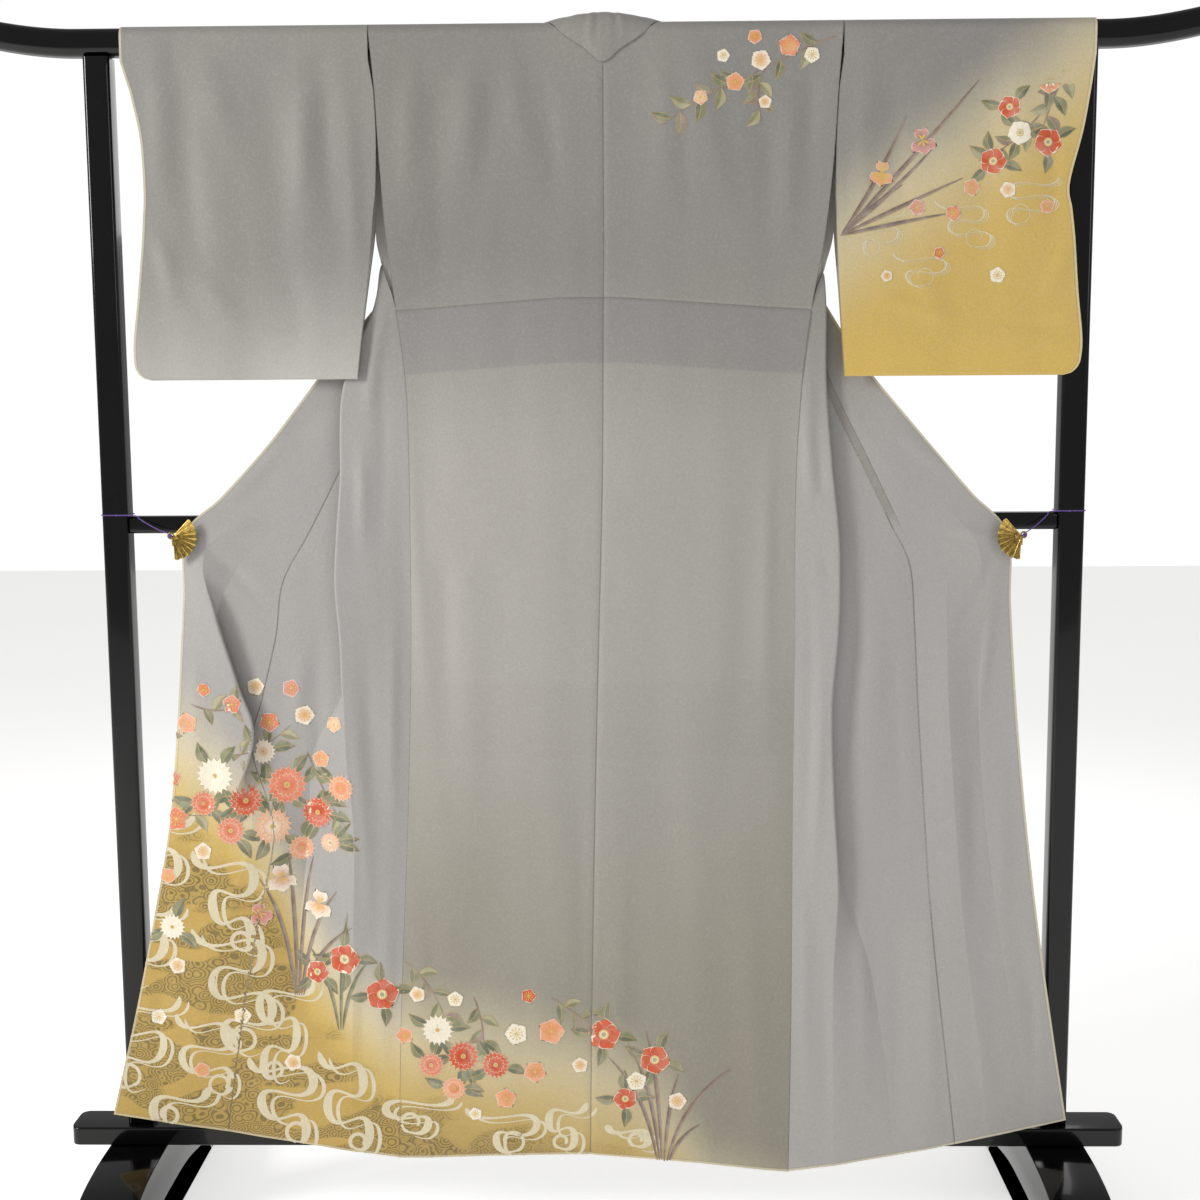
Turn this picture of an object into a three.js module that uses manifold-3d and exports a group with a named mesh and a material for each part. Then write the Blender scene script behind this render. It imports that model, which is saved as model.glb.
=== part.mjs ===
// A silk visiting kimono hung by its sleeves on a black lacquered kimono stand, seen from the back.
// Millimetres, +Z up. The wearer's back faces -Y. X = 0 is the middle of the stand and Z = 0 is the floor.
//
// The garment is cut as a kimono is: two body lengths that run from the back hem over the shoulder to the
// front hem, two overlap panels, one long collar and two sleeves. Both fronts are opened out sideways and
// held by brass fan clips, each tied to an upright. Every cloth panel is a wall about a smooth surface
// whose control points come from a table with one row for each level.
import * as THREE from "three";
import { mergeVertices } from "three/addons/utils/BufferGeometryUtils.js";
import Module from "manifold-3d";

const wasm = await Module();
wasm.setup();

// ---------------------------------------------------------------- driving sizes
const CLOTH = 1.6; // lined silk, outer cloth and lining together
const SEAM_GAP = 0.5; // between neighbouring panels
const CLEAR = 0.35; // between the cloth and the bar it lies over
const FOLD_RADIUS = 2.4; // of the pleats in the fronts
const STAND = { halfSpan: 660, barHeight: 1667, crossHeight: 1018 };
const BAR = { deep: 34, tall: 37, corner: 13, halfLength: 885, bendStart: 690, endRise: 34 };
const POST = { wide: 36, deep: 34, corner: 6 };
const CROSS = { deep: 22, tall: 24, corner: 5 };
const BEAM = { top: 148, thick: 27, deep: 60, halfLength: 757, corner: 12 };
const FOOT = { wide: 84, gap: 0.4 };
const CLIP = { radius: 33, plate: 2, ribs: 9, from: 48, to: -88, ring: 5.2, hole: 2.4 };
const CORD = 1.6; // diameter of the string that ties a clip to its upright
const NECK_CENTRE = 20; // the garment hangs this far to the right of the stand's middle

// ---------------------------------------------------------------- tables of the cloth, one row for each level
// Back of both body lengths, from the hem up: side seams, centre back seam and how far each stands forward.
const BACK = [
  { z: 0, left: -282, centre: -6, right: 277, sideY: -37, centreY: -40 },
  { z: 250, left: -277, centre: -4, right: 279, sideY: -36, centreY: -44 },
  { z: 410, left: -270, centre: -1, right: 280, sideY: -33, centreY: -46 },
  { z: 630, left: -259, centre: 4, right: 281, sideY: -28, centreY: -47 },
  { z: 850, left: -251, centre: 10, right: 282, sideY: -25, centreY: -46 },
  { z: 1050, left: -249, centre: 16, right: 281, sideY: -23, centreY: -42 },
  { z: 1200, left: -251, centre: 18, right: 288, sideY: -21, centreY: -35 },
  { z: 1310, left: -263, centre: 19, right: 301, sideY: -20, centreY: -28 },
  { z: 1400, left: -274, centre: 20, right: 317, sideY: -19.5, centreY: -23 },
  { z: 1500, left: -281, centre: 20, right: 328, sideY: -19, centreY: -20 },
  { z: 1600, left: -286, centre: 20, right: 334, sideY: -18.6, centreY: -18.6 },
];
// The neckline: how wide it is on each side of its centre, and where, from the centre back over the bar.
// ridge and free: the middle and the loose edge of the collar that stands on it.
const NECK = [
  { y: -18.15, z: 1636, half: 2, ridge: 0, ridgeY: -19, ridgeZ: 1688, free: 0, freeY: 10, freeZ: 1699 },
  { y: -18.15, z: 1654, half: 27, ridge: 22, ridgeY: -17, ridgeZ: 1691, free: 14, freeY: 12, freeZ: 1698 },
  { y: -18.15, z: 1671, half: 54, ridge: 40, ridgeY: -12, ridgeZ: 1693, free: 28, freeY: 14, freeZ: 1696 },
  { y: -14.2, z: 1682, half: 68, ridge: 50, ridgeY: -3, ridgeZ: 1694, free: 36, freeY: 17, freeZ: 1693 },
  { y: -4, z: 1686.65, half: 77, ridge: 56, ridgeY: 6, ridgeZ: 1693.5, free: 42, freeY: 20, freeZ: 1689 },
  { y: 4, z: 1686.65, half: 81, ridge: 59, ridgeY: 14, ridgeZ: 1689, free: 45, freeY: 22.5, freeZ: 1683 },
  { y: 14.2, z: 1682, half: 86, ridge: 63, ridgeY: 20, ridgeZ: 1681, free: 50, freeY: 24.5, freeZ: 1674 },
  { y: 18.15, z: 1671, half: 90, ridge: 66, ridgeY: 22, ridgeZ: 1668, free: 52, freeY: 25.5, freeZ: 1660 },
  { y: 18.15, z: 1648, half: 96, ridge: 71, ridgeY: 22.5, ridgeZ: 1644, free: 57, freeY: 26, freeZ: 1636 },
];
const SHOULDER = { left: -293, right: 340 };
// The hem's height under each place across the spread garment.
const HEM = [
  { x: -720, z: 178 }, { x: -690, z: 172 }, { x: -525, z: 146 }, { x: -282, z: 107 }, { x: -140, z: 113 },
  { x: -6, z: 115 }, { x: 110, z: 106 }, { x: 277, z: 87 }, { x: 400, z: 106 }, { x: 513, z: 129 },
  { x: 670, z: 165 }, { x: 720, z: 176 },
];
// Fronts, from the shoulder down. open: how far the armhole edge stands from the back's. fold: the pleat's
// outer edge. turn: where the pleat turns out again. seam: the collar seam, then the overlap seam.
const FRONT_LEFT = [
  { z: 1600, openX: 0, openY: 37, foldX: -262, foldY: 18.2, turnX: -84, turnY: 18.4, seamX: -106, seamY: 23, seamZ: 1598 },
  { z: 1500, openX: -4, openY: 33, foldX: -262, foldY: 13, turnX: -104, turnY: 8, seamX: -155, seamY: 18, seamZ: 1500 },
  { z: 1415, openX: -16, openY: 24, foldX: -272, foldY: 4, turnX: -126, turnY: 2, seamX: -196, seamY: 13, seamZ: 1415 },
  { z: 1365, openX: -10, openY: 9, foldX: -282, foldY: -8, turnX: -138, turnY: -2, seamX: -218, seamY: 9, seamZ: 1372 },
  { z: 1310, openX: 0, openY: 0.7, foldX: -292, foldY: -15, turnX: -165, turnY: -4, seamX: -246, seamY: 5, seamZ: 1320 },
  { z: 1205, openX: 0, openY: 0.7, foldX: -335, foldY: -18.5, turnX: -233, turnY: -9, seamX: -292, seamY: -2, seamZ: 1205 },
  { z: 1080, openX: 0, openY: 0.7, foldX: -341, foldY: -27, turnX: -273, turnY: -18, seamX: -352, seamY: -13, seamZ: 1080 },
  { z: 1005, openX: 0, openY: 0.7, foldX: -347, foldY: -32, turnX: -298, turnY: -22, seamX: -391, seamY: -17, seamZ: 1005 },
  { z: 935, openX: 0, openY: 0.7, foldX: -351, foldY: -34, turnX: -318, turnY: -24, seamX: -428, seamY: -18, seamZ: 938 },
  { z: 860, openX: 0, openY: 0.7, foldX: -346, foldY: -36, turnX: -324, turnY: -26, seamX: -440, seamY: -19, seamZ: 862 },
  { z: 770, openX: 0, openY: 0.7, foldX: -344, foldY: -38, turnX: -352, turnY: -28, seamX: -461, seamY: -21, seamZ: 776 },
  { z: 690, openX: 0, openY: 0.7, foldX: -342, foldY: -40, turnX: -392, turnY: -24, seamX: -478, seamY: -21, seamZ: 702 },
  { z: 585, openX: 0, openY: 0.7, foldX: -334, foldY: -42, turnX: -402, turnY: -17, seamX: -449, seamY: -30, seamZ: 590 },
  { z: 450, openX: 0, openY: 0.7, foldX: -338, foldY: -43, turnX: -416, turnY: -24, seamX: -473, seamY: -36, seamZ: 462 },
  { z: 300, openX: 0, openY: 0.7, foldX: -343, foldY: -42, turnX: -428, turnY: -34, seamX: -500, seamY: -37, seamZ: 318 },
  { z: 0, openX: 0, openY: 0.7, foldX: -350, foldY: -39, turnX: -436, turnY: -37, seamX: -527, seamY: -37, seamZ: 0 },
];
const FRONT_RIGHT = [
  { z: 1600, openX: 0, openY: 37, foldX: 309, foldY: 18.2, turnX: 124, turnY: 18.4, seamX: 146, seamY: 23, seamZ: 1598 },
  { z: 1500, openX: 3, openY: 33, foldX: 305, foldY: 13, turnX: 144, turnY: 8, seamX: 195, seamY: 18, seamZ: 1500 },
  { z: 1415, openX: 13, openY: 24, foldX: 307, foldY: 4, turnX: 166, turnY: 2, seamX: 236, seamY: 13, seamZ: 1415 },
  { z: 1365, openX: 8, openY: 9, foldX: 314, foldY: -8, turnX: 177, turnY: -2, seamX: 254, seamY: 9, seamZ: 1372 },
  { z: 1310, openX: 0, openY: 0.7, foldX: 318, foldY: -15, turnX: 190, turnY: -4, seamX: 280, seamY: 5, seamZ: 1320 },
  { z: 1205, openX: 0, openY: 0.7, foldX: 319, foldY: -18.5, turnX: 214, turnY: -9, seamX: 320, seamY: -2, seamZ: 1205 },
  { z: 1100, openX: 0, openY: 0.7, foldX: 327, foldY: -26, turnX: 250, turnY: -17, seamX: 371, seamY: -12, seamZ: 1100 },
  { z: 1015, openX: 0, openY: 0.7, foldX: 336, foldY: -31, turnX: 279, turnY: -22, seamX: 412, seamY: -17, seamZ: 1015 },
  { z: 955, openX: 0, openY: 0.7, foldX: 339, foldY: -33, turnX: 293, turnY: -23, seamX: 439, seamY: -17, seamZ: 958 },
  { z: 870, openX: 0, openY: 0.7, foldX: 338, foldY: -35, turnX: 299, turnY: -25, seamX: 447, seamY: -18, seamZ: 874 },
  { z: 760, openX: 0, openY: 0.7, foldX: 330, foldY: -38, turnX: 298, turnY: -27, seamX: 453, seamY: -21, seamZ: 764 },
  { z: 630, openX: 0, openY: 0.7, foldX: 334, foldY: -41, turnX: 318, turnY: -28, seamX: 462, seamY: -24, seamZ: 638 },
  { z: 500, openX: 0, openY: 0.7, foldX: 342, foldY: -43, turnX: 352, turnY: -27, seamX: 471, seamY: -28, seamZ: 510 },
  { z: 390, openX: 0, openY: 0.7, foldX: 338, foldY: -43, turnX: 388, turnY: -29, seamX: 481, seamY: -34, seamZ: 404 },
  { z: 250, openX: 0, openY: 0.7, foldX: 338, foldY: -41, turnX: 412, turnY: -35, seamX: 497, seamY: -37, seamZ: 270 },
  { z: 0, openX: 0, openY: 0.7, foldX: 342, foldY: -39, turnX: 428, turnY: -37, seamX: 514, seamY: -37, seamZ: 0 },
];
// Overlap panels, level with the third and later rows of their front. tuck and flap: the pleat that the
// clip pulls in, edge: the collar seam down to the clip, then the front edge.
const OVERLAP_LEFT = [
  { tuckX: -198, tuckY: 13, flapX: -200, flapY: 13, edgeX: -203, edgeY: 13, edgeZ: 1428 },
  { tuckX: -220, tuckY: 9.5, flapX: -227, flapY: 9.5, edgeX: -235, edgeY: 9.5, edgeZ: 1386 },
  { tuckX: -255, tuckY: 5, flapX: -263, flapY: 5, edgeX: -272, edgeY: 5, edgeZ: 1340 },
  { tuckX: -311, tuckY: -4, flapX: -331, flapY: -5, edgeX: -351, edgeY: -5, edgeZ: 1247 },
  { tuckX: -381, tuckY: -14, flapX: -410, flapY: -14, edgeX: -440, edgeY: -15, edgeZ: 1133 },
  { tuckX: -430, tuckY: -18, flapX: -470, flapY: -20, edgeX: -508, edgeY: -21, edgeZ: 1058 },
  { tuckX: -490, tuckY: -20, flapX: -533, flapY: -27, edgeX: -560, edgeY: -23, edgeZ: 1008 },
  { tuckX: -524, tuckY: -19, flapX: -522, flapY: -33, edgeX: -566, edgeY: -24, edgeZ: 920 },
  { tuckX: -512, tuckY: -19, flapX: -494, flapY: -37, edgeX: -574, edgeY: -27, edgeZ: 815 },
  { tuckX: -498, tuckY: -20, flapX: -474, flapY: -39, edgeX: -581, edgeY: -29, edgeZ: 730 },
  { tuckX: -478, tuckY: -37, flapX: -520, flapY: -38, edgeX: -596, edgeY: -31, edgeZ: 596 },
  { tuckX: -515, tuckY: -41, flapX: -565, flapY: -38, edgeX: -620, edgeY: -33, edgeZ: 474 },
  { tuckX: -548, tuckY: -41, flapX: -600, flapY: -39, edgeX: -652, edgeY: -36, edgeZ: 328 },
  { tuckX: -578, tuckY: -39, flapX: -635, flapY: -38, edgeX: -691, edgeY: -37, edgeZ: 0 },
];
const OVERLAP_RIGHT = [
  { tuckX: 238, tuckY: 13, flapX: 240, flapY: 13, edgeX: 243, edgeY: 13, edgeZ: 1428 },
  { tuckX: 257, tuckY: 9.5, flapX: 264, flapY: 9.5, edgeX: 272, edgeY: 9.5, edgeZ: 1386 },
  { tuckX: 288, tuckY: 5, flapX: 297, flapY: 5, edgeX: 306, edgeY: 5, edgeZ: 1340 },
  { tuckX: 337, tuckY: -4, flapX: 354, flapY: -5, edgeX: 371, edgeY: -5, edgeZ: 1238 },
  { tuckX: 398, tuckY: -14, flapX: 426, flapY: -14, edgeX: 454, edgeY: -15, edgeZ: 1137 },
  { tuckX: 448, tuckY: -19, flapX: 484, flapY: -21, edgeX: 520, edgeY: -21, edgeZ: 1060 },
  { tuckX: 486, tuckY: -21, flapX: 530, flapY: -26, edgeX: 572, edgeY: -23, edgeZ: 1002 },
  { tuckX: 490, tuckY: -25, flapX: 540, flapY: -24, edgeX: 578, edgeY: -24, edgeZ: 905 },
  { tuckX: 494, tuckY: -30, flapX: 536, flapY: -22, edgeX: 587, edgeY: -28, edgeZ: 780 },
  { tuckX: 503, tuckY: -32, flapX: 545, flapY: -26, edgeX: 600, edgeY: -31, edgeZ: 645 },
  { tuckX: 514, tuckY: -35, flapX: 560, flapY: -30, edgeX: 616, edgeY: -33, edgeZ: 514 },
  { tuckX: 526, tuckY: -38, flapX: 576, flapY: -34, edgeX: 631, edgeY: -35, edgeZ: 408 },
  { tuckX: 545, tuckY: -40, flapX: 598, flapY: -37, edgeX: 651, edgeY: -36, edgeZ: 284 },
  { tuckX: 562, tuckY: -39, flapX: 616, flapY: -38, edgeX: 671, edgeY: -37, edgeZ: 0 },
];
// Sleeves, from the bar down to the fold at the bottom. near and far: the two layers' depth at the body
// end and at the cuff end. inner and outer: the edges of both layers, farOuter: the far layer's cuff edge.
const SLEEVE_LEFT = [
  { z: 1600, inner: -286, outer: -614, farOuter: -614, near: -18.6, far: 18.2, nearCuff: -18.4, farCuff: 18.2 },
  { z: 1540, inner: -284, outer: -603, farOuter: -604, near: -19, far: 17.6, nearCuff: -18, farCuff: 14 },
  { z: 1470, inner: -286, outer: -601, farOuter: -601, near: -20, far: 16, nearCuff: -17, farCuff: 4 },
  { z: 1435, inner: -290, outer: -604, farOuter: -604, near: -21, far: 13, nearCuff: -15, farCuff: -8 },
  { z: 1400, inner: -293, outer: -607, farOuter: -607, near: -22, far: 7, nearCuff: -15, farCuff: -10 },
  { z: 1325, inner: -301, outer: -616, farOuter: -616, near: -25, far: -16, nearCuff: -15, farCuff: -10 },
  { z: 1262, inner: -309, outer: -624, farOuter: -624, near: -29, far: -24, nearCuff: -15, farCuff: -10 },
  { z: 1220, inner: -314, outer: -622, farOuter: -622, near: -29.5, far: -25.5, nearCuff: -15, farCuff: -11 },
];
const SLEEVE_RIGHT = [
  { z: 1600, inner: 334, outer: 669, farOuter: 669, near: -18.6, far: 18.2, nearCuff: -19, farCuff: 19.6 },
  { z: 1540, inner: 331, outer: 659, farOuter: 638, near: -19, far: 17.6, nearCuff: -21, farCuff: 18 },
  { z: 1470, inner: 330, outer: 642, farOuter: 637, near: -20, far: 16, nearCuff: -24, farCuff: -2 },
  { z: 1435, inner: 331, outer: 646, farOuter: 640, near: -21, far: 13, nearCuff: -26, farCuff: -20 },
  { z: 1400, inner: 332, outer: 650, farOuter: 650, near: -22, far: 7, nearCuff: -27, farCuff: -21.5 },
  { z: 1325, inner: 336, outer: 657, farOuter: 657, near: -25, far: -16, nearCuff: -27, farCuff: -21.5 },
  { z: 1262, inner: 340, outer: 664, farOuter: 664, near: -29, far: -24, nearCuff: -27, farCuff: -21.5 },
  { z: 1220, inner: 343, outer: 660, farOuter: 660, near: -29.5, far: -25.5, nearCuff: -27, farCuff: -22 },
];
// Collar, from the clips up to the back of the bar. seam: the edge sewn to the panels, ridge: its middle,
// free: the edge that is folded away behind the fronts.
const COLLAR_LEFT = [
  { seamX: -549, seamY: -17, seamZ: 1006, ridgeX: -527, ridgeY: -15.5, ridgeZ: 989, freeX: -505, freeY: -15, freeZ: 973 },
  { seamX: -508, seamY: -17, seamZ: 1054, ridgeX: -484, ridgeY: -15, ridgeZ: 1036, freeX: -461, freeY: -14.5, freeZ: 1018 },
  { seamX: -440, seamY: -12.2, seamZ: 1129, ridgeX: -416, ridgeY: -10, ridgeZ: 1111, freeX: -393, freeY: -8, freeZ: 1093 },
  { seamX: -351, seamY: -2.2, seamZ: 1243, ridgeX: -327, ridgeY: 0.5, ridgeZ: 1226, freeX: -304, freeY: 3, freeZ: 1209 },
  { seamX: -272, seamY: 8, seamZ: 1338, ridgeX: -248, ridgeY: 10, ridgeZ: 1321, freeX: -224, freeY: 13, freeZ: 1304 },
  { seamX: -203, seamY: 16, seamZ: 1428, ridgeX: -178, ridgeY: 18, ridgeZ: 1412, freeX: -154, freeY: 20, freeZ: 1396 },
  { seamX: -155, seamY: 21, seamZ: 1500, ridgeX: -130, ridgeY: 23, ridgeZ: 1488, freeX: -105, freeY: 24, freeZ: 1476 },
  { seamX: -106, seamY: 25.6, seamZ: 1598, ridgeX: -80, ridgeY: 26.5, ridgeZ: 1592, freeX: -54, freeY: 26.5, freeZ: 1586 },
];
const COLLAR_RIGHT = [
  { seamX: 560, seamY: -17, seamZ: 1002, ridgeX: 538, ridgeY: -15.5, ridgeZ: 985, freeX: 516, freeY: -15, freeZ: 969 },
  { seamX: 520, seamY: -17, seamZ: 1056, ridgeX: 496, ridgeY: -15, ridgeZ: 1038, freeX: 473, freeY: -14.5, freeZ: 1020 },
  { seamX: 454, seamY: -12.2, seamZ: 1133, ridgeX: 430, ridgeY: -10, ridgeZ: 1115, freeX: 407, freeY: -8, freeZ: 1097 },
  { seamX: 371, seamY: -2.2, seamZ: 1234, ridgeX: 347, ridgeY: 0.5, ridgeZ: 1217, freeX: 324, freeY: 3, freeZ: 1200 },
  { seamX: 306, seamY: 8, seamZ: 1338, ridgeX: 282, ridgeY: 10, ridgeZ: 1321, freeX: 258, freeY: 13, freeZ: 1304 },
  { seamX: 243, seamY: 16, seamZ: 1428, ridgeX: 218, ridgeY: 18, ridgeZ: 1412, freeX: 194, freeY: 20, freeZ: 1396 },
  { seamX: 195, seamY: 21, seamZ: 1500, ridgeX: 170, ridgeY: 23, ridgeZ: 1488, freeX: 145, freeY: 24, freeZ: 1476 },
  { seamX: 146, seamY: 25.6, seamZ: 1598, ridgeX: 120, ridgeY: 26.5, ridgeZ: 1592, freeX: 94, freeY: 26.5, freeZ: 1586 },
];

// ---------------------------------------------------------------- curves
const mix = (a, b, t) => a + (b - a) * t;
const vec = (x, y, z) => new THREE.Vector3(x, y, z);

// A smooth curve through equally numbered values, read at a fractional place.
function smoothAt(values, place) {
  const last = values.length - 1;
  const i = Math.max(0, Math.min(last - 1, Math.floor(place)));
  const t = place - i;
  const p1 = values[i];
  const p2 = values[i + 1];
  const m1 = i > 0 ? (p2 - values[i - 1]) / 2 : p2 - p1;
  const m2 = i + 2 <= last ? (values[i + 2] - p1) / 2 : p2 - p1;
  const t2 = t * t;
  const t3 = t2 * t;
  return (2 * t3 - 3 * t2 + 1) * p1 + (t3 - 2 * t2 + t) * m1 + (3 * t2 - 2 * t3) * p2 + (t3 - t2) * m2;
}

// One row of a table between its own rows, every column by the same smooth curve.
function rowAt(table, place) {
  const row = {};
  for (const name of Object.keys(table[0])) {
    row[name] = smoothAt(table.map((entry) => entry[name]), place);
  }
  return row;
}

// The rows of a table with extra ones between them.
function refine(table, between) {
  const rows = [];
  for (let i = 0; i <= (table.length - 1) * between; i += 1) {
    rows.push(rowAt(table, i / between));
  }
  return rows;
}

// A column read off a table at a given height or place along X, straight between the rows.
function lookUp(table, key, value, column) {
  let i = 0;
  while (i < table.length - 2 && table[i + 1][key] < value) i += 1;
  const a = table[i];
  const b = table[i + 1];
  const t = Math.max(0, Math.min(1, (value - a[key]) / (b[key] - a[key])));
  return mix(a[column], b[column], t);
}

const hemAt = (x) => lookUp(HEM, "x", x, "z");

// The backs at a height, so that both sides of a side seam agree.
function backAt(z, edge) {
  const hem = hemAt(BACK[0][edge]);
  let low = 1;
  let high = BACK.length - 1;
  while (high - low > 1e-4) {
    const middle = (low + high) / 2;
    if (smoothAt(BACK.map((row) => row.z), middle) < z) low = middle;
    else high = middle;
  }
  return rowAt(BACK, z < BACK[1].z ? (z - hem) / (BACK[1].z - hem) : low);
}

// Rows of points with extra rows between them, every coordinate by the smooth curve.
function refinePoints(rows, between) {
  const made = [];
  for (let i = 0; i <= (rows.length - 1) * between; i += 1) {
    made.push(
      rows[0].map((_, j) =>
        vec(
          smoothAt(rows.map((row) => row[j].x), i / between),
          smoothAt(rows.map((row) => row[j].y), i / between),
          smoothAt(rows.map((row) => row[j].z), i / between),
        ),
      ),
    );
  }
  return made;
}

// ---------------------------------------------------------------- walls
// A closed wall about a grid of points, half its thickness to each side, edges square to the cloth.
function wall(grid, thickness, closed = false) {
  const rows = grid.length;
  const columns = grid[0].length;
  const clampRow = (i) => (closed ? (i + rows) % rows : Math.max(0, Math.min(rows - 1, i)));
  const clampColumn = (j) => Math.max(0, Math.min(columns - 1, j));
  const positions = [];
  for (const side of [1, -1]) {
    for (let i = 0; i < rows; i += 1) {
      for (let j = 0; j < columns; j += 1) {
        const along = grid[clampRow(i + 1)][j].clone().sub(grid[clampRow(i - 1)][j]);
        const before = grid[i][j].clone().sub(grid[i][clampColumn(j - 1)]);
        const after = grid[i][clampColumn(j + 1)].clone().sub(grid[i][j]);
        const across = before.normalize().add(after.normalize());
        const normal = along.cross(across).normalize();
        const point = grid[i][j].clone().addScaledVector(normal, (side * thickness) / 2);
        positions.push(point.x, point.y, point.z);
      }
    }
  }
  const half = rows * columns;
  const index = [];
  const quad = (a, b, c, d) => index.push(a, b, c, a, c, d);
  const at = (side, i, j) => side * half + clampRow(i) * columns + j;
  const spans = closed ? rows : rows - 1;
  for (let i = 0; i < spans; i += 1) {
    for (let j = 0; j < columns - 1; j += 1) {
      quad(at(0, i, j), at(0, i + 1, j), at(0, i + 1, j + 1), at(0, i, j + 1));
      quad(at(1, i, j), at(1, i, j + 1), at(1, i + 1, j + 1), at(1, i + 1, j));
    }
    quad(at(0, i, 0), at(1, i, 0), at(1, i + 1, 0), at(0, i + 1, 0));
    const end = columns - 1;
    quad(at(0, i, end), at(0, i + 1, end), at(1, i + 1, end), at(1, i, end));
  }
  if (!closed) {
    const end = rows - 1;
    for (let j = 0; j < columns - 1; j += 1) {
      quad(at(0, 0, j), at(0, 0, j + 1), at(1, 0, j + 1), at(1, 0, j));
      quad(at(0, end, j), at(1, end, j), at(1, end, j + 1), at(0, end, j + 1));
    }
  }
  return solidOf(positions, index);
}

// A manifold solid from loose positions and an index, turned right side out.
function solidOf(positions, index) {
  let volume = 0;
  const corner = (n) => vec(positions[3 * n], positions[3 * n + 1], positions[3 * n + 2]);
  for (let i = 0; i < index.length; i += 3) {
    volume += corner(index[i]).dot(corner(index[i + 1]).cross(corner(index[i + 2])));
  }
  if (volume < 0) {
    for (let i = 0; i < index.length; i += 3) {
      [index[i], index[i + 1]] = [index[i + 1], index[i]];
    }
  }
  const mesh = new wasm.Mesh({
    numProp: 3,
    vertProperties: new Float32Array(positions),
    triVerts: new Uint32Array(index),
  });
  mesh.merge();
  return new wasm.Manifold(mesh);
}

// The same for a three.js geometry.
function solidFrom(geometry) {
  const plain = geometry.clone();
  plain.deleteAttribute("normal");
  plain.deleteAttribute("uv");
  const merged = mergeVertices(plain, 1e-4);
  return solidOf(Array.from(merged.attributes.position.array), Array.from(merged.index.array));
}

const group = new THREE.Group();
group.name = "silk_kimono_on_stand";

function add(name, solid, colour, roughness, metalness = 0) {
  const mesh = solid.getMesh();
  const geometry = new THREE.BufferGeometry();
  geometry.setAttribute("position", new THREE.BufferAttribute(new Float32Array(mesh.vertProperties), 3));
  geometry.setIndex(new THREE.BufferAttribute(new Uint32Array(mesh.triVerts), 1));
  geometry.computeVertexNormals();
  const piece = new THREE.Mesh(geometry, new THREE.MeshStandardMaterial({ color: colour, roughness, metalness }));
  piece.name = name;
  group.add(piece);
}

// A rod of a given section along a smooth path through points.
function rod(points, section, steps) {
  const shape = new THREE.Shape(section.map(([a, b]) => new THREE.Vector2(a, b)));
  const extrudePath = new THREE.CatmullRomCurve3(points);
  return solidFrom(new THREE.ExtrudeGeometry(shape, { steps, extrudePath, bevelEnabled: false }));
}

// A straight upright rod of a given section.
function post(section, length) {
  const shape = new THREE.Shape(section.map(([a, b]) => new THREE.Vector2(a, b)));
  return new THREE.ExtrudeGeometry(shape, { depth: length, bevelEnabled: false });
}

// Sections for rods.
function roundedSection(wide, tall, corner, steps = 4) {
  const places = [];
  for (let quarter = 0; quarter < 4; quarter += 1) {
    const middle = [
      [wide / 2 - corner, tall / 2 - corner],
      [corner - wide / 2, tall / 2 - corner],
      [corner - wide / 2, corner - tall / 2],
      [wide / 2 - corner, corner - tall / 2],
    ][quarter];
    for (let i = 0; i <= steps; i += 1) {
      const angle = ((quarter + i / steps) * Math.PI) / 2;
      places.push([middle[0] + corner * Math.cos(angle), middle[1] + corner * Math.sin(angle)]);
    }
  }
  return places;
}

function roundSection(diameter, steps = 8) {
  const places = [];
  for (let i = 0; i < steps; i += 1) {
    const angle = (i / steps) * Math.PI * 2;
    places.push([(diameter / 2) * Math.cos(angle), (diameter / 2) * Math.sin(angle)]);
  }
  return places;
}

const boxAt = (sx, sy, sz, x, y, z) => solidFrom(new THREE.BoxGeometry(sx, sy, sz).translate(x, y, z));

// ---------------------------------------------------------------- stand
// Bar, with both ends swept up a little.
const barPath = [];
for (let i = 0; i <= 34; i += 1) {
  const s = (i / 34) * 2 - 1;
  const x = BAR.halfLength * (0.72 * s + 0.28 * s * Math.abs(s) ** 0.5);
  const past = Math.max(0, Math.abs(x) - BAR.bendStart) / (BAR.halfLength - BAR.bendStart);
  barPath.push(vec(x, 0, STAND.barHeight + BAR.endRise * past ** 1.8));
}
const LACQUER = "#0b0a0b";
add("stand_top_bar", rod(barPath, roundedSection(BAR.deep, BAR.tall, BAR.corner, 3), 34), LACQUER, 0.12);

for (const [side, name] of [[-1, "left"], [1, "right"]]) {
  const low = BEAM.top + FOOT.gap;
  const high = STAND.barHeight - BAR.tall / 2 - FOOT.gap;
  const upright = post(roundedSection(POST.wide, POST.deep, POST.corner, 3), high - low);
  upright.translate(side * STAND.halfSpan, 0, low);
  add(`stand_upright_${name}`, solidFrom(upright), LACQUER, 0.12);
}

const crossHalf = STAND.halfSpan - POST.wide / 2 - FOOT.gap;
const crossbar = post(roundedSection(CROSS.tall, CROSS.deep, CROSS.corner, 3), crossHalf * 2);
crossbar.rotateY(Math.PI / 2);
crossbar.translate(-crossHalf, 0, STAND.crossHeight);
add("stand_crossbar", solidFrom(crossbar), LACQUER, 0.12);

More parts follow.
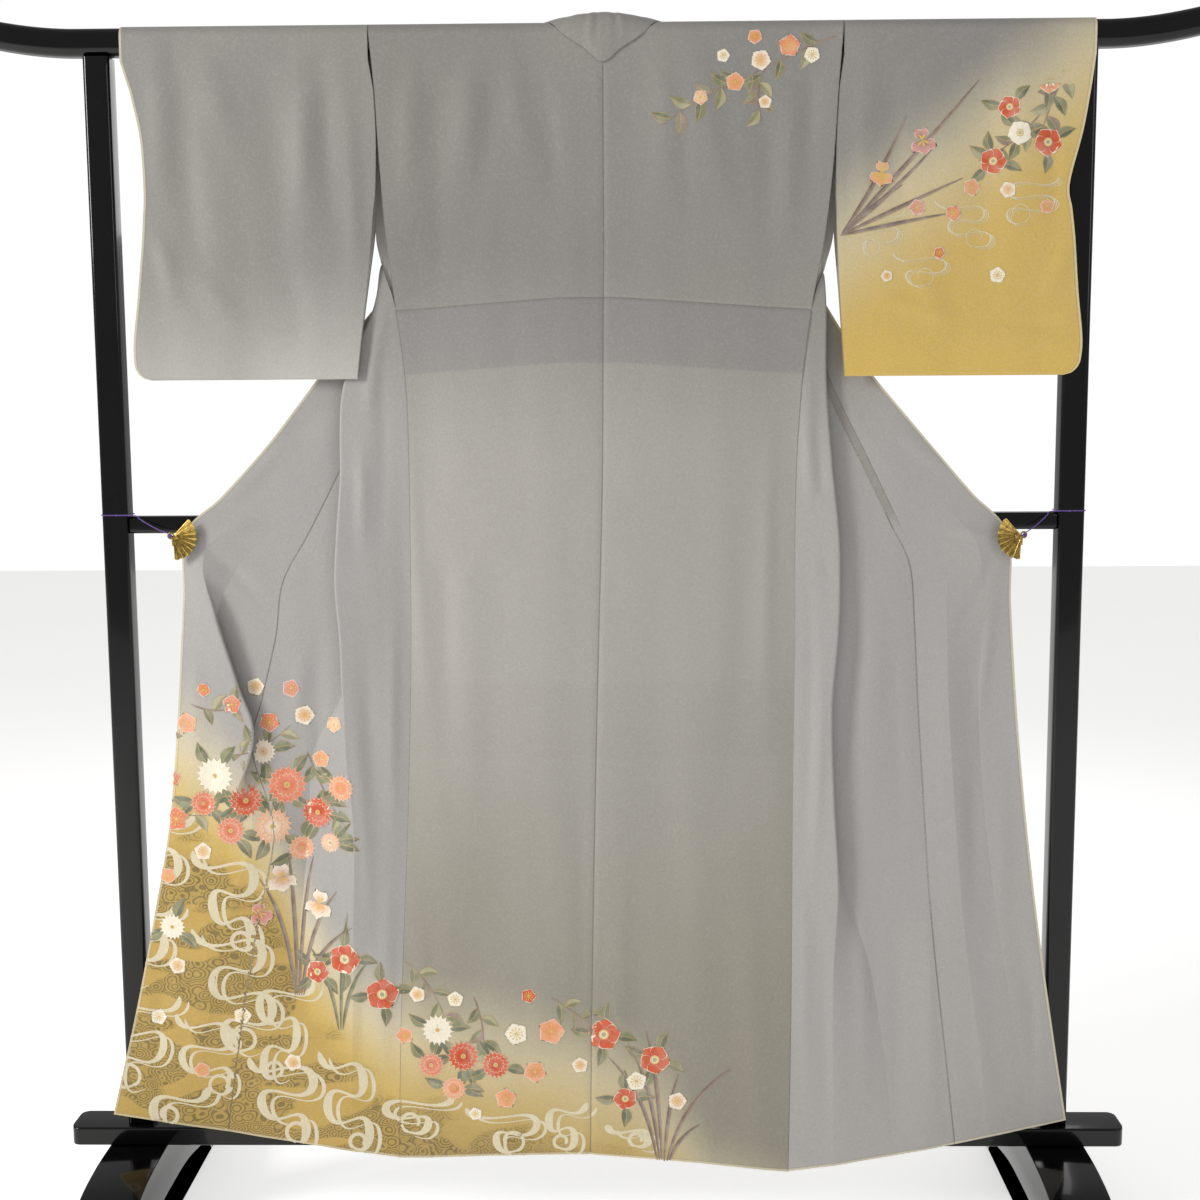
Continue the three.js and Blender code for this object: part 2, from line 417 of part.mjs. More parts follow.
const beamShape = new THREE.Shape();
const beamEnds = [
  [-BEAM.halfLength, BEAM.deep / 2 - BEAM.corner],
  [BEAM.halfLength, BEAM.deep / 2 - BEAM.corner],
];
beamShape.moveTo(beamEnds[0][0], -beamEnds[0][1]);
beamShape.quadraticCurveTo(-BEAM.halfLength, -BEAM.deep / 2, -BEAM.halfLength + BEAM.corner, -BEAM.deep / 2);
beamShape.lineTo(BEAM.halfLength - BEAM.corner, -BEAM.deep / 2);
beamShape.quadraticCurveTo(BEAM.halfLength, -BEAM.deep / 2, beamEnds[1][0], -beamEnds[1][1]);
beamShape.lineTo(beamEnds[1][0], beamEnds[1][1]);
beamShape.quadraticCurveTo(BEAM.halfLength, BEAM.deep / 2, BEAM.halfLength - BEAM.corner, BEAM.deep / 2);
beamShape.lineTo(-BEAM.halfLength + BEAM.corner, BEAM.deep / 2);
beamShape.quadraticCurveTo(-BEAM.halfLength, BEAM.deep / 2, beamEnds[0][0], beamEnds[0][1]);
const beamGeometry = new THREE.ExtrudeGeometry(beamShape, {
  depth: BEAM.thick - 4,
  bevelEnabled: true,
  bevelThickness: 2,
  bevelSize: 2,
  bevelOffset: -2,
  bevelSegments: 2,
  curveSegments: 5,
});
beamGeometry.translate(0, 0, BEAM.top - BEAM.thick + 2);
add("stand_beam", solidFrom(beamGeometry), LACQUER, 0.12);

// Arched feet, running front to back under the beam. One row for each place out from the middle.
const FOOT_PROFILE = [
  { y: 0, top: 120.6, under: 50 },
  { y: 45, top: 120.6, under: 49.5 },
  { y: 85, top: 119.5, under: 46 },
  { y: 130, top: 115, under: 38 },
  { y: 160, top: 109, under: 31 },
  { y: 185, top: 101, under: 21 },
  { y: 200, top: 94, under: 11 },
  { y: 208, top: 90, under: 0 },
  { y: 232, top: 74, under: 0 },
  { y: 243, top: 60, under: 0 },
];
const footShape = new THREE.Shape();
const footPoints = [
  ...FOOT_PROFILE.map((row) => [row.y, row.top]),
  ...[...FOOT_PROFILE].reverse().map((row) => [row.y, row.under]),
  ...FOOT_PROFILE.slice(1).map((row) => [-row.y, row.under]),
  ...[...FOOT_PROFILE].slice(1).reverse().map((row) => [-row.y, row.top]),
];
footPoints.forEach(([a, b], i) => (i === 0 ? footShape.moveTo(a, b) : footShape.lineTo(a, b)));
for (const [side, name] of [[-1, "left"], [1, "right"]]) {
  const geometry = new THREE.ExtrudeGeometry(footShape, {
    depth: FOOT.wide - 6,
    bevelEnabled: true,
    bevelThickness: 3,
    bevelSize: 3,
    bevelOffset: -3,
    bevelSegments: 2,
  });
  geometry.rotateX(Math.PI / 2);
  geometry.rotateZ(Math.PI / 2);
  geometry.translate(side * STAND.halfSpan - (FOOT.wide - 6) / 2, 0, 0);
  const foot = solidFrom(geometry);
  const bounds = foot.boundingBox();
  add(`stand_foot_${name}`, foot.translate([0, 0, -bounds.min[2]]), LACQUER, 0.12);
}

// ---------------------------------------------------------------- how the cloth runs over the bar
// Places round the bar from its camera side over the top to its far side, at the cloth's middle.
const overBar = [];
const ride = CLEAR + CLOTH / 2;
const cornerOut = BAR.corner + ride;
const flatHalf = BAR.deep / 2 - BAR.corner;
const cornerHeight = STAND.barHeight + BAR.tall / 2 - BAR.corner;
overBar.push([-(flatHalf + cornerOut), 1648]);
for (let i = 0; i <= 4; i += 1) {
  const angle = Math.PI - (i / 4) * (Math.PI / 2);
  overBar.push([-flatHalf + cornerOut * Math.cos(angle), cornerHeight + cornerOut * Math.sin(angle)]);
}
for (let i = 0; i <= 4; i += 1) {
  const angle = Math.PI / 2 - (i / 4) * (Math.PI / 2);
  overBar.push([flatHalf + cornerOut * Math.cos(angle), cornerHeight + cornerOut * Math.sin(angle)]);
}
overBar.push([flatHalf + cornerOut, 1648]);

// The neckline's half width at a depth and height, by the nearest stretch of its table.
function neckHalf(y, z) {
  let best = NECK[0].half;
  let near = Infinity;
  for (let i = 0; i < NECK.length - 1; i += 1) {
    const a = NECK[i];
    const b = NECK[i + 1];
    const run = (b.y - a.y) ** 2 + (b.z - a.z) ** 2;
    const t = Math.max(0, Math.min(1, ((y - a.y) * (b.y - a.y) + (z - a.z) * (b.z - a.z)) / run));
    const gap = Math.hypot(y - mix(a.y, b.y, t), z - mix(a.z, b.z, t));
    if (gap < near) {
      near = gap;
      best = mix(a.half, b.half, t);
    }
  }
  return best;
}

// ---------------------------------------------------------------- body lengths
// The back: straight across from the centre seam to the side seam, a little fuller in the middle.
function backWall(side) {
  const edge = side < 0 ? "left" : "right";
  const grid = [];
  const across = [0, 0.25, 0.5, 0.75, 1];
  const places = [0, 0.5, 1, 1.5, 2, 2.5, 3, 3.5, 4, 4.5, 5, 6, 7, 8, 9, 10];
  for (const place of places) {
    const row = rowAt(BACK, place);
    const inner = row.centre + (side * SEAM_GAP) / 2;
    grid.push(
      across.map((t) => {
        const x = mix(inner, row[edge], t);
        const y = mix(row.centreY, row.sideY, t ** 1.6) - 3 * Math.sin(Math.PI * t) * Math.min(1, (10 - place) / 4);
        return vec(x, y, place < 1 ? mix(hemAt(x), BACK[1].z, place) : row.z);
      }),
    );
  }
  for (const place of [
    [-18.15, 1636],
    ...overBar.slice(0, 7),
  ]) {
    const half = place[1] <= 1636 ? SEAM_GAP / 2 : neckHalf(place[0], place[1]);
    const inner = NECK_CENTRE + side * half;
    const outer = mix(BACK[10][edge], SHOULDER[edge], Math.min(1, (place[1] - 1600) / 80));
    grid.push(across.map((t) => vec(mix(inner, outer, t), place[0], place[1])));
  }
  return wall(grid, CLOTH);
}

// A line across the cloth that rounds every fold like a string round pegs. Its columns keep the same
// places on the cloth at every level: close together at the folds and one long step between them.
function roundFolds(points, radius, leads) {
  const count = points.length;
  const flat = points.map((p) => new THREE.Vector2(p.x, p.y));
  const leg = [];
  for (let i = 0; i < count - 1; i += 1) leg.push(flat[i + 1].clone().sub(flat[i]).normalize());
  const turns = points.map((p, i) => {
    if (i === 0 || i === count - 1) return 0;
    return Math.atan2(leg[i - 1].cross(leg[i]), leg[i - 1].dot(leg[i]));
  });
  const sign = turns.map((turn) => Math.max(-1, Math.min(1, turn / 1.9)));
  const path = [];
  const marks = [0];
  const heights = [];
  for (let i = 0; i < count - 1; i += 1) {
    const normal = new THREE.Vector2(leg[i].y, -leg[i].x);
    if (i > 0) {
      const from = new THREE.Vector2(leg[i - 1].y, -leg[i - 1].x);
      marks.push(path.length - 1 + 3);
      for (let k = 1; k <= 5; k += 1) {
        const t = k / 6;
        const c = Math.cos(turns[i] * t);
        const s = Math.sin(turns[i] * t);
        const spun = new THREE.Vector2(from.x * c - from.y * s, from.x * s + from.y * c);
        path.push(flat[i].clone().addScaledVector(spun, radius * sign[i]));
        heights.push(points[i].z);
      }
    }
    path.push(flat[i].clone().addScaledVector(normal, radius * sign[i]));
    heights.push(points[i].z);
    path.push(flat[i + 1].clone().addScaledVector(normal, radius * sign[i + 1]));
    heights.push(points[i + 1].z);
  }
  marks.push(path.length - 1);
  const runs = [0];
  for (let i = 1; i < path.length; i += 1) runs.push(runs[i - 1] + path[i].distanceTo(path[i - 1]));
  const at = (distance) => {
    let i = 1;
    while (i < path.length - 1 && runs[i] < distance) i += 1;
    const span = runs[i] - runs[i - 1];
    const t = span > 1e-6 ? Math.max(0, Math.min(1, (distance - runs[i - 1]) / span)) : 0;
    return vec(
      mix(path[i - 1].x, path[i].x, t),
      mix(path[i - 1].y, path[i].y, t),
      mix(heights[i - 1], heights[i], t),
    );
  };
  const columns = [];
  for (let i = 0; i < marks.length - 1; i += 1) {
    const a = runs[marks[i]];
    const b = runs[marks[i + 1]];
    const lead = Math.min(1, (b - a) / (leads[leads.length - 1] * 2.2));
    columns.push(a);
    for (const d of leads) if (i > 0) columns.push(a + d * lead);
    if (i === 0 || i === marks.length - 2) columns.push((a + b) / 2);
    for (const d of [...leads].reverse()) if (i < marks.length - 2) columns.push(b - d * lead);
  }
  columns.push(runs[marks[marks.length - 1]]);
  return columns.map(at);
}

const FOLD_LEADS = [3.4];
const JOIN_TOP = 1311; // where the side seams begin, below the open part under the arm

// A front: over the bar, then down with its pleat to the hem.
function frontWall(side) {
  const edge = side < 0 ? "left" : "right";
  const table = side < 0 ? FRONT_LEFT : FRONT_RIGHT;
  const grid = [];
  for (const place of overBar.slice(5)) {
    const inner = NECK_CENTRE + side * neckHalf(place[0], place[1]);
    const outer = mix(BACK[10][edge], SHOULDER[edge], Math.min(1, (place[1] - 1600) / 80));
    const marks = [outer, mix(outer, inner, 0.11), mix(outer, inner, 0.93), inner];
    grid.push(roundFolds(marks.map((x) => vec(x, place[0], place[1])), FOLD_RADIUS, FOLD_LEADS));
  }
  const levels = table.map((row) => {
    const atHem = row.z === 0;
    const back = atHem ? BACK[0] : backAt(row.z, edge);
    const points = [
      vec(back[edge] + row.openX, back.sideY + row.openY, row.z),
      vec(row.foldX, row.foldY, row.z),
      vec(row.turnX, row.turnY, mix(row.z, row.seamZ, 0.5)),
      vec(row.seamX, row.seamY, row.seamZ),
    ];
    if (atHem) points.forEach((p) => (p.z = hemAt(p.x)));
    return points;
  });
  for (const points of refinePoints(levels, 2)) {
    if (points[0].z <= JOIN_TOP) {
      const back = backAt(points[0].z, edge);
      points[0].x = back[edge] - side * 3;
      points[0].y = back.sideY + 0.5;
    }
    grid.push(roundFolds(points, FOLD_RADIUS, FOLD_LEADS));
  }
  return wall(grid, CLOTH);
}

const SILK = "#b4b2ad";
const SILK_GOLD = "#c9ab55";
add("body_left", backWall(-1).add(frontWall(-1)), SILK, 0.55);
add("body_right", backWall(1).add(frontWall(1)), SILK, 0.55);

// ---------------------------------------------------------------- overlap panels
function overlapWall(side) {
  const table = side < 0 ? OVERLAP_LEFT : OVERLAP_RIGHT;
  const grid = [];
  const front = side < 0 ? FRONT_LEFT : FRONT_RIGHT;
  const levels = table.map((row, i) => {
    const { seamX, seamY, seamZ } = front[i + 2];
    const level = (t) => mix(seamZ, row.edgeZ, t);
    const points = [
      vec(seamX, seamY, seamZ),
      vec(row.tuckX, row.tuckY, level(0.3)),
      vec(row.flapX, row.flapY, level(0.6)),
      vec(row.edgeX, row.edgeY, row.edgeZ),
    ];
    if (seamZ === 0) points.forEach((p) => (p.z = hemAt(p.x)));
    return points;
  });
  for (const points of refinePoints(levels, 2)) {
    const wide = Math.abs(points[3].x - points[0].x);
    points[0].x += side * (SEAM_GAP + 0.1);
    grid.push(roundFolds(points, FOLD_RADIUS * Math.min(1, wide / 90), FOLD_LEADS));
  }
  return wall(grid, CLOTH);
}
add("overlap_left", overlapWall(-1), SILK_GOLD, 0.55);
add("overlap_right", overlapWall(1), SILK, 0.55);

// ---------------------------------------------------------------- collar
const sewn = (row) => [
  vec(row.seamX, row.seamY, row.seamZ),
  vec(row.ridgeX, row.ridgeY, row.ridgeZ),
  vec(row.freeX, row.freeY, row.freeZ),
];
const neckRow = (row, side, i) => [
  vec(NECK_CENTRE + side * Math.max(0, row.half - 1.4), row.y * (i < 3 ? 1.02 : 1.04), row.z + (i < 3 ? 1.8 : 0.6)),
  vec(NECK_CENTRE + side * row.ridge, row.ridgeY, row.ridgeZ),
  vec(NECK_CENTRE + side * row.free, row.freeY, row.freeZ),
];
const collarLevels = [
  ...COLLAR_LEFT.map(sewn),
  ...[...NECK].reverse().map((row, i) => neckRow(row, -1, NECK.length - 1 - i)),
  ...NECK.slice(1).map((row, i) => neckRow(row, 1, i + 1)),
  ...[...COLLAR_RIGHT].reverse().map(sewn),
];
const collarGrid = refinePoints(collarLevels, 2).map(([seam, ridge, free]) => {
  const bulge = ridge.clone().multiplyScalar(2).sub(seam.clone().add(free).multiplyScalar(0.5));
  return [0, 0.33, 0.67, 1].map((t) =>
    seam
      .clone()
      .multiplyScalar((1 - t) ** 2)
      .addScaledVector(bulge, 2 * t * (1 - t))
      .addScaledVector(free, t * t),
  );
});
add("collar", wall(collarGrid, CLOTH), SILK, 0.55);

// ---------------------------------------------------------------- sleeves
// Each sleeve is a loop of cloth over the bar: near layer up, over, far layer down, and closed below. The
// seam below the cuff opening joins the two layers at the outer edge; the inner edge stays open.
function sleeve(side) {
  const table = side < 0 ? SLEEVE_LEFT : SLEEVE_RIGHT;
  const edge = side < 0 ? "left" : "right";
  const levels = table.map((row) => row.z);
  const shoulder = SHOULDER[edge] + side * (SEAM_GAP + 0.3);
  const barEnd = side < 0 ? -626 : 674;
  const grid = [];
  const stations = [0, 0.25, 0.5, 0.75, 1];
  const rowsUp = [];
  for (let i = (levels.length - 1) * 2; i >= 0; i -= 1) rowsUp.push(rowAt(table, i / 2));
  const innerAt = (row) => row.inner + side * (SEAM_GAP + 0.8);
  for (const row of rowsUp) {
    grid.push(stations.map((t) => vec(mix(innerAt(row), row.outer, t), mix(row.near, row.nearCuff, t), row.z)));
  }
  for (const place of overBar) grid.push(stations.map((t) => vec(mix(shoulder, barEnd, t), place[0], place[1])));
  for (const row of [...rowsUp].reverse()) {
    grid.push(stations.map((t) => vec(mix(innerAt(row), row.farOuter, t), mix(row.far, row.farCuff, t), row.z)));
  }
  const last = table[table.length - 1];
  grid.push(
    stations.map((t) => {
      const y = mix(last.near + last.far, last.nearCuff + last.farCuff, t) / 2;
      return vec(mix(innerAt(last), last.outer - side * 1.5, t), y, last.z - 2.6);
    }),
  );
  return wall(grid, CLOTH, true).add(cuffSeam(table));
}

// The seam below the cuff opening, a narrow strip between the two layers.
function cuffSeam(table) {
  const grid = [];
  for (let place = 3.6; place <= table.length - 1; place += 0.2) {
    const row = rowAt(table, place);
    const inward = Math.sign(row.inner - row.outer);
    const x = row.outer + inward * 1;
    const span = row.farCuff - row.nearCuff;
    grid.push([0, 0.5, 1].map((t) => vec(x, row.nearCuff + span * (t * 0.98 + 0.01), row.z)));
  }
  return wall(grid, CLOTH);
}
add("sleeve_left", sleeve(-1), SILK, 0.55);
add("sleeve_right", sleeve(1), SILK_GOLD, 0.55);

// ---------------------------------------------------------------- fan clips and their strings
// A folding fan of pressed brass over a sprung jaw, both on one pivot outside the edge of the cloth.
const PIVOT = [
  { side: -1, name: "left", x: -574, z: 1004 },
  { side: 1, name: "right", x: 587, z: 1000 },
];
const FRONT_PLATE = -36;
const BRASS = "#b8913c";

function fanOutline(side, radius, from, to, ribs) {
  const shape = new THREE.Shape();
  shape.moveTo(0, 0);
  for (let i = 0; i <= ribs * 2; i += 1) {
    const angle = (mix(from, to, i / (ribs * 2)) * Math.PI) / 180;
    const reach = radius - (i % 2 === 0 ? 0 : 1.3);
    shape.lineTo(-side * reach * Math.cos(angle), reach * Math.sin(angle));
  }
  shape.closePath();
  return shape;
}

// A flat piece standing in the XZ plane, its lower face at the given depth.
function plate(shape, depth, x, y, z) {
  const geometry = new THREE.ExtrudeGeometry(shape, { depth, bevelEnabled: false, curveSegments: 6 });
  geometry.rotateX(Math.PI / 2);
  return solidFrom(geometry).translate([x, y + depth, z]);
}

// The corners of a loop in order round the upright, begun and ended under the knot at its front.
function openLoop(corners, x, y, z) {
  const middle = corners.reduce((sum, p) => sum + p.x, 0) / corners.length;
  const turn = (p) => (Math.atan2(p.y, p.x - middle) - Math.atan2(y, x - middle) + Math.PI * 4) % (Math.PI * 2);
  const ordered = [...corners].sort((p, q) => turn(p) - turn(q));
  return [vec(x + 0.4, y, z), ...ordered, vec(x - 0.4, y, z)];
}

for (const { side, name, x, z } of PIVOT) {
  let clip = plate(fanOutline(side, CLIP.radius, CLIP.from, CLIP.to, CLIP.ribs), CLIP.plate, x, FRONT_PLATE, z);
  for (let i = 0; i <= CLIP.ribs; i += 1) {
    const angle = mix(CLIP.from - 3, CLIP.to + 3, i / CLIP.ribs);
    const rib = boxAt(CLIP.radius - 8, 1.1, 1.2, 4 + (CLIP.radius - 2) / 2, 0, 0);
    const turned = side < 0 ? rib.rotate([0, -angle, 0]) : rib.rotate([0, angle + 180, 0]);
    clip = clip.add(turned.translate([x, FRONT_PLATE - 0.45, z]));
  }
  const ring = solidFrom(new THREE.CylinderGeometry(CLIP.ring, CLIP.ring, 2.4, 28));
  const hole = solidFrom(new THREE.CylinderGeometry(CLIP.hole, CLIP.hole, 30, 20));
  const eyeX = x + side * 3;
  clip = clip.add(ring.translate([eyeX, FRONT_PLATE + 0.9, z + 1]));
  // the jaw behind the cloth hangs from a bridge that passes outside the front edge, under the crossbar
  const hub = boxAt(5, 26, 8, x - side * 1, FRONT_PLATE + 14, z - 9.5);
  const neck = boxAt(6, CLIP.plate, 14, x - side * 1, FRONT_PLATE + 1, z - 6);
  clip = clip.add(neck).add(hub);
  const jaw = fanOutline(side, 24, -22, CLIP.to + 6, 5);
  clip = clip.add(plate(jaw, CLIP.plate, x - side * 0, FRONT_PLATE + 25, z - 4));
  clip = clip.subtract(hole.translate([eyeX, FRONT_PLATE, z + 1]));
  add(`fan_clip_${name}`, clip, BRASS, 0.3, 1);

  // string: a loop round the upright above the crossbar, then a tail to the clip's eye, knotted there
  const loopZ = STAND.crossHeight + CROSS.tall / 2 + 2.2;
  const loopSection = roundedSection(
    POST.wide + 2 * CLEAR + CORD,
    POST.deep + 2 * CLEAR + CORD,
    POST.corner + CLEAR + CORD / 2,
    3,
  );
  const corners = loopSection.map(([a, b]) => vec(side * STAND.halfSpan + a, b, loopZ));
  const front = -(POST.deep / 2 + CLEAR + CORD / 2);
  const tie = vec(side * (STAND.halfSpan - 4), front - 0.9, loopZ);
  const loop = openLoop(corners, tie.x, front, loopZ);
  const stand = vec(side * (STAND.halfSpan - 30), front - 1.6, loopZ - 0.6);
  const behind = vec(eyeX + side * 2, FRONT_PLATE + 6.5, z + 2.4);
  const eye = vec(eyeX, FRONT_PLATE - 2, z + 1);
  const tail = [tie];
  for (let i = 0; i <= 6; i += 1) {
    const point = stand.clone().lerp(behind, i / 6);
    point.z -= 2.5 * Math.sin((Math.PI * i) / 6);
    tail.push(point);
  }
  tail.push(eye.clone().setY(FRONT_PLATE + 3));
  tail.push(eye);
  const knotAt = (r, p) => solidFrom(new THREE.SphereGeometry(r, 10, 6).translate(p.x, p.y, p.z));
  const string = rod(loop, roundSection(CORD, 6), 30)
    .add(rod(tail, roundSection(CORD, 6), 16))
    .add(knotAt(1.7, tie))
    .add(knotAt(3.1, eye.clone().setY(FRONT_PLATE - 4)));
  add(`clip_string_${name}`, string, "#5b3a8e", 0.8);
}

export default group;
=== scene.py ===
"""A silk visiting kimono hung by its sleeves on a black lacquered kimono stand, seen from the back.

Metres, +Z up. The garment's back faces -Y, X = 0 is the middle of the stand and Z = 0 is the floor. The
tables hold millimetres, and every finished mesh is scaled to metres once. Cloth is worked out as surfaces
of two parameters: along the cloth from hem to shoulder, and across it from seam to seam.
"""
import math
import bmesh
import bpy
import numpy as np
from mathutils import Matrix, Vector


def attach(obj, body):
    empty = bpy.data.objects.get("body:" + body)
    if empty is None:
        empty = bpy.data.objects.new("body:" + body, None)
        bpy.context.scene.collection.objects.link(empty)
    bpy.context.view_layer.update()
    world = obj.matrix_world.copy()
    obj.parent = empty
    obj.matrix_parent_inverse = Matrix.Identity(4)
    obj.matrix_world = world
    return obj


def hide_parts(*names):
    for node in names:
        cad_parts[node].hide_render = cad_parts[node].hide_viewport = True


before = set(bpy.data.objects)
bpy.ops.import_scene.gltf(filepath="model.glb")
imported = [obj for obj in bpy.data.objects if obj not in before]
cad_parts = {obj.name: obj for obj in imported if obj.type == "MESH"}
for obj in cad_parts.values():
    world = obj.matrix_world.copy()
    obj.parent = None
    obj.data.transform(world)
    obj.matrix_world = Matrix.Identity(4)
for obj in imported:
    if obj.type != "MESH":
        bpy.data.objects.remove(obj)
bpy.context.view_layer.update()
scene = bpy.context.scene
MM = 0.001


# ------------------------------------------------------------------ camera
def make_camera():
    """A camera with its own right, up and forward directions, looking a little down at the back."""
    pitch, turn, roll = math.radians(7.15), math.radians(-0.99), math.radians(-0.35)
    forward = Vector((math.sin(turn) * math.cos(pitch), math.cos(turn) * math.cos(pitch), -math.sin(pitch)))
    level = Vector((math.cos(turn), -math.sin(turn), 0))
    upright = level.cross(forward)
    right = math.cos(roll) * level + math.sin(roll) * upright
    top = -math.sin(roll) * level + math.cos(roll) * upright
    data = bpy.data.cameras.new("camera")
    data.sensor_width = 36
    data.lens = 49.58
    data.clip_end = 60
    camera = bpy.data.objects.new("camera", data)
    matrix = Matrix((right, top, -forward)).transposed().to_4x4()
    matrix.translation = (0.0512, -2.290, 1.1966)
    camera.matrix_world = matrix
    scene.collection.objects.link(camera)
    scene.camera = camera


make_camera()


# ------------------------------------------------------------------ tables of the cloth, in millimetres
def table(columns, *rows):
    """Named columns of numbers, one row for each level of the cloth."""
    numbers = np.array(rows, float)
    return {name: numbers[:, i] for i, name in enumerate(columns.split())}


CLOTH = 1.2
SEAM_GAP = 0.1
FOLD_RADIUS = 2.4
NECK_CENTRE = 20.0
SHOULDER = {-1: -293.0, 1: 340.0}
EDGE = {-1: "left", 1: "right"}

BACK = table(
    "z left centre right side_y centre_y",
    (0, -282, -6, 277, -37, -40),
    (250, -277, -4, 279, -36, -44),
    (410, -270, -1, 280, -33, -46),
    (630, -259, 4, 281, -28, -47),
    (850, -251, 10, 282, -25, -46),
    (1050, -249, 16, 281, -23, -42),
    (1200, -251, 18, 288, -21, -35),
    (1310, -263, 19, 301, -20, -28),
    (1400, -274, 20, 317, -19.5, -23),
    (1500, -281, 20, 328, -19, -20),
    (1600, -286, 20, 334, -18.6, -18.6),
)
NECK = table(
    "y z half ridge ridge_y ridge_z free free_y free_z",
    (-18.15, 1636, 2, 0, -19, 1688, 0, 10, 1699),
    (-18.15, 1654, 27, 22, -17, 1691, 14, 12, 1698),
    (-18.15, 1671, 54, 40, -12, 1693, 28, 14, 1696),
    (-14.2, 1682, 68, 50, -3, 1694, 36, 17, 1693),
    (-4, 1686.65, 77, 56, 6, 1693.5, 42, 20, 1689),
    (4, 1686.65, 81, 59, 14, 1689, 45, 22.5, 1683),
    (14.2, 1682, 86, 63, 20, 1681, 50, 24.5, 1674),
    (18.15, 1671, 90, 66, 22, 1668, 52, 25.5, 1660),
    (18.15, 1648, 96, 71, 22.5, 1644, 57, 26, 1636),
)
HEM = table(
    "x z",
    (-720, 178), (-690, 172), (-525, 146), (-282, 107), (-140, 113), (-6, 115), (110, 106), (277, 87),
    (400, 106), (513, 129), (670, 165), (720, 176),
)
FRONT = {
    -1: table(
        "z open_x open_y fold_x fold_y turn_x turn_y seam_x seam_y seam_z",
        (1600, 0, 37, -262, 18.2, -84, 18.4, -106, 23, 1598),
        (1500, -4, 33, -262, 13, -104, 8, -155, 18, 1500),
        (1415, -16, 24, -272, 4, -126, 2, -196, 13, 1415),
        (1365, -10, 9, -282, -8, -138, -2, -218, 9, 1372),
        (1310, 0, 0.7, -292, -15, -165, -4, -246, 5, 1320),
        (1205, 0, 0.7, -335, -18.5, -233, -9, -292, -2, 1205),
        (1080, 0, 0.7, -341, -27, -273, -18, -352, -13, 1080),
        (1005, 0, 0.7, -347, -32, -298, -22, -391, -17, 1005),
        (935, 0, 0.7, -351, -34, -318, -24, -428, -18, 938),
        (860, 0, 0.7, -346, -36, -324, -26, -440, -19, 862),
        (770, 0, 0.7, -344, -38, -352, -28, -461, -21, 776),
        (690, 0, 0.7, -342, -40, -392, -24, -478, -21, 702),
        (585, 0, 0.7, -334, -42, -402, -17, -449, -30, 590),
        (450, 0, 0.7, -338, -43, -416, -24, -473, -36, 462),
        (300, 0, 0.7, -343, -42, -428, -34, -500, -37, 318),
        (0, 0, 0.7, -350, -39, -436, -37, -527, -37, 0),
    ),
    1: table(
        "z open_x open_y fold_x fold_y turn_x turn_y seam_x seam_y seam_z",
        (1600, 0, 37, 309, 18.2, 124, 18.4, 146, 23, 1598),
        (1500, 3, 33, 305, 13, 144, 8, 195, 18, 1500),
        (1415, 13, 24, 307, 4, 166, 2, 236, 13, 1415),
        (1365, 8, 9, 314, -8, 177, -2, 254, 9, 1372),
        (1310, 0, 0.7, 318, -15, 190, -4, 280, 5, 1320),
        (1205, 0, 0.7, 319, -18.5, 214, -9, 320, -2, 1205),
        (1100, 0, 0.7, 327, -26, 250, -17, 371, -12, 1100),
        (1015, 0, 0.7, 336, -31, 279, -22, 412, -17, 1015),
        (955, 0, 0.7, 339, -33, 293, -23, 439, -17, 958),
        (870, 0, 0.7, 338, -35, 299, -25, 447, -18, 874),
        (760, 0, 0.7, 330, -38, 298, -27, 453, -21, 764),
        (630, 0, 0.7, 334, -41, 318, -28, 462, -24, 638),
        (500, 0, 0.7, 342, -43, 352, -27, 471, -28, 510),
        (390, 0, 0.7, 338, -43, 388, -29, 481, -34, 404),
        (250, 0, 0.7, 338, -41, 412, -35, 497, -37, 270),
        (0, 0, 0.7, 342, -39, 428, -37, 514, -37, 0),
    ),
}
OVERLAP = {
    -1: table(
        "tuck_x tuck_y flap_x flap_y edge_x edge_y edge_z",
        (-198, 13, -200, 13, -203, 13, 1428),
        (-220, 9.5, -227, 9.5, -235, 9.5, 1386),
        (-255, 5, -263, 5, -272, 5, 1340),
        (-311, -4, -331, -5, -351, -5, 1247),
        (-381, -14, -410, -14, -440, -15, 1133),
        (-430, -18, -470, -20, -508, -21, 1058),
        (-490, -20, -533, -27, -560, -23, 1008),
        (-524, -19, -522, -33, -566, -24, 920),
        (-512, -19, -494, -37, -574, -27, 815),
        (-498, -20, -474, -39, -581, -29, 730),
        (-478, -37, -520, -38, -596, -31, 596),
        (-515, -41, -565, -38, -620, -33, 474),
        (-548, -41, -600, -39, -652, -36, 328),
        (-578, -39, -635, -38, -691, -37, 0),
    ),
    1: table(
        "tuck_x tuck_y flap_x flap_y edge_x edge_y edge_z",
        (238, 13, 240, 13, 243, 13, 1428),
        (257, 9.5, 264, 9.5, 272, 9.5, 1386),
        (288, 5, 297, 5, 306, 5, 1340),
        (337, -4, 354, -5, 371, -5, 1238),
        (398, -14, 426, -14, 454, -15, 1137),
        (448, -19, 484, -21, 520, -21, 1060),
        (486, -21, 530, -26, 572, -23, 1002),
        (490, -25, 540, -24, 578, -24, 905),
        (494, -30, 536, -22, 587, -28, 780),
        (503, -32, 545, -26, 600, -31, 645),
        (514, -35, 560, -30, 616, -33, 514),
        (526, -38, 576, -34, 631, -35, 408),
        (545, -40, 598, -37, 651, -36, 284),
        (562, -39, 616, -38, 671, -37, 0),
    ),
}
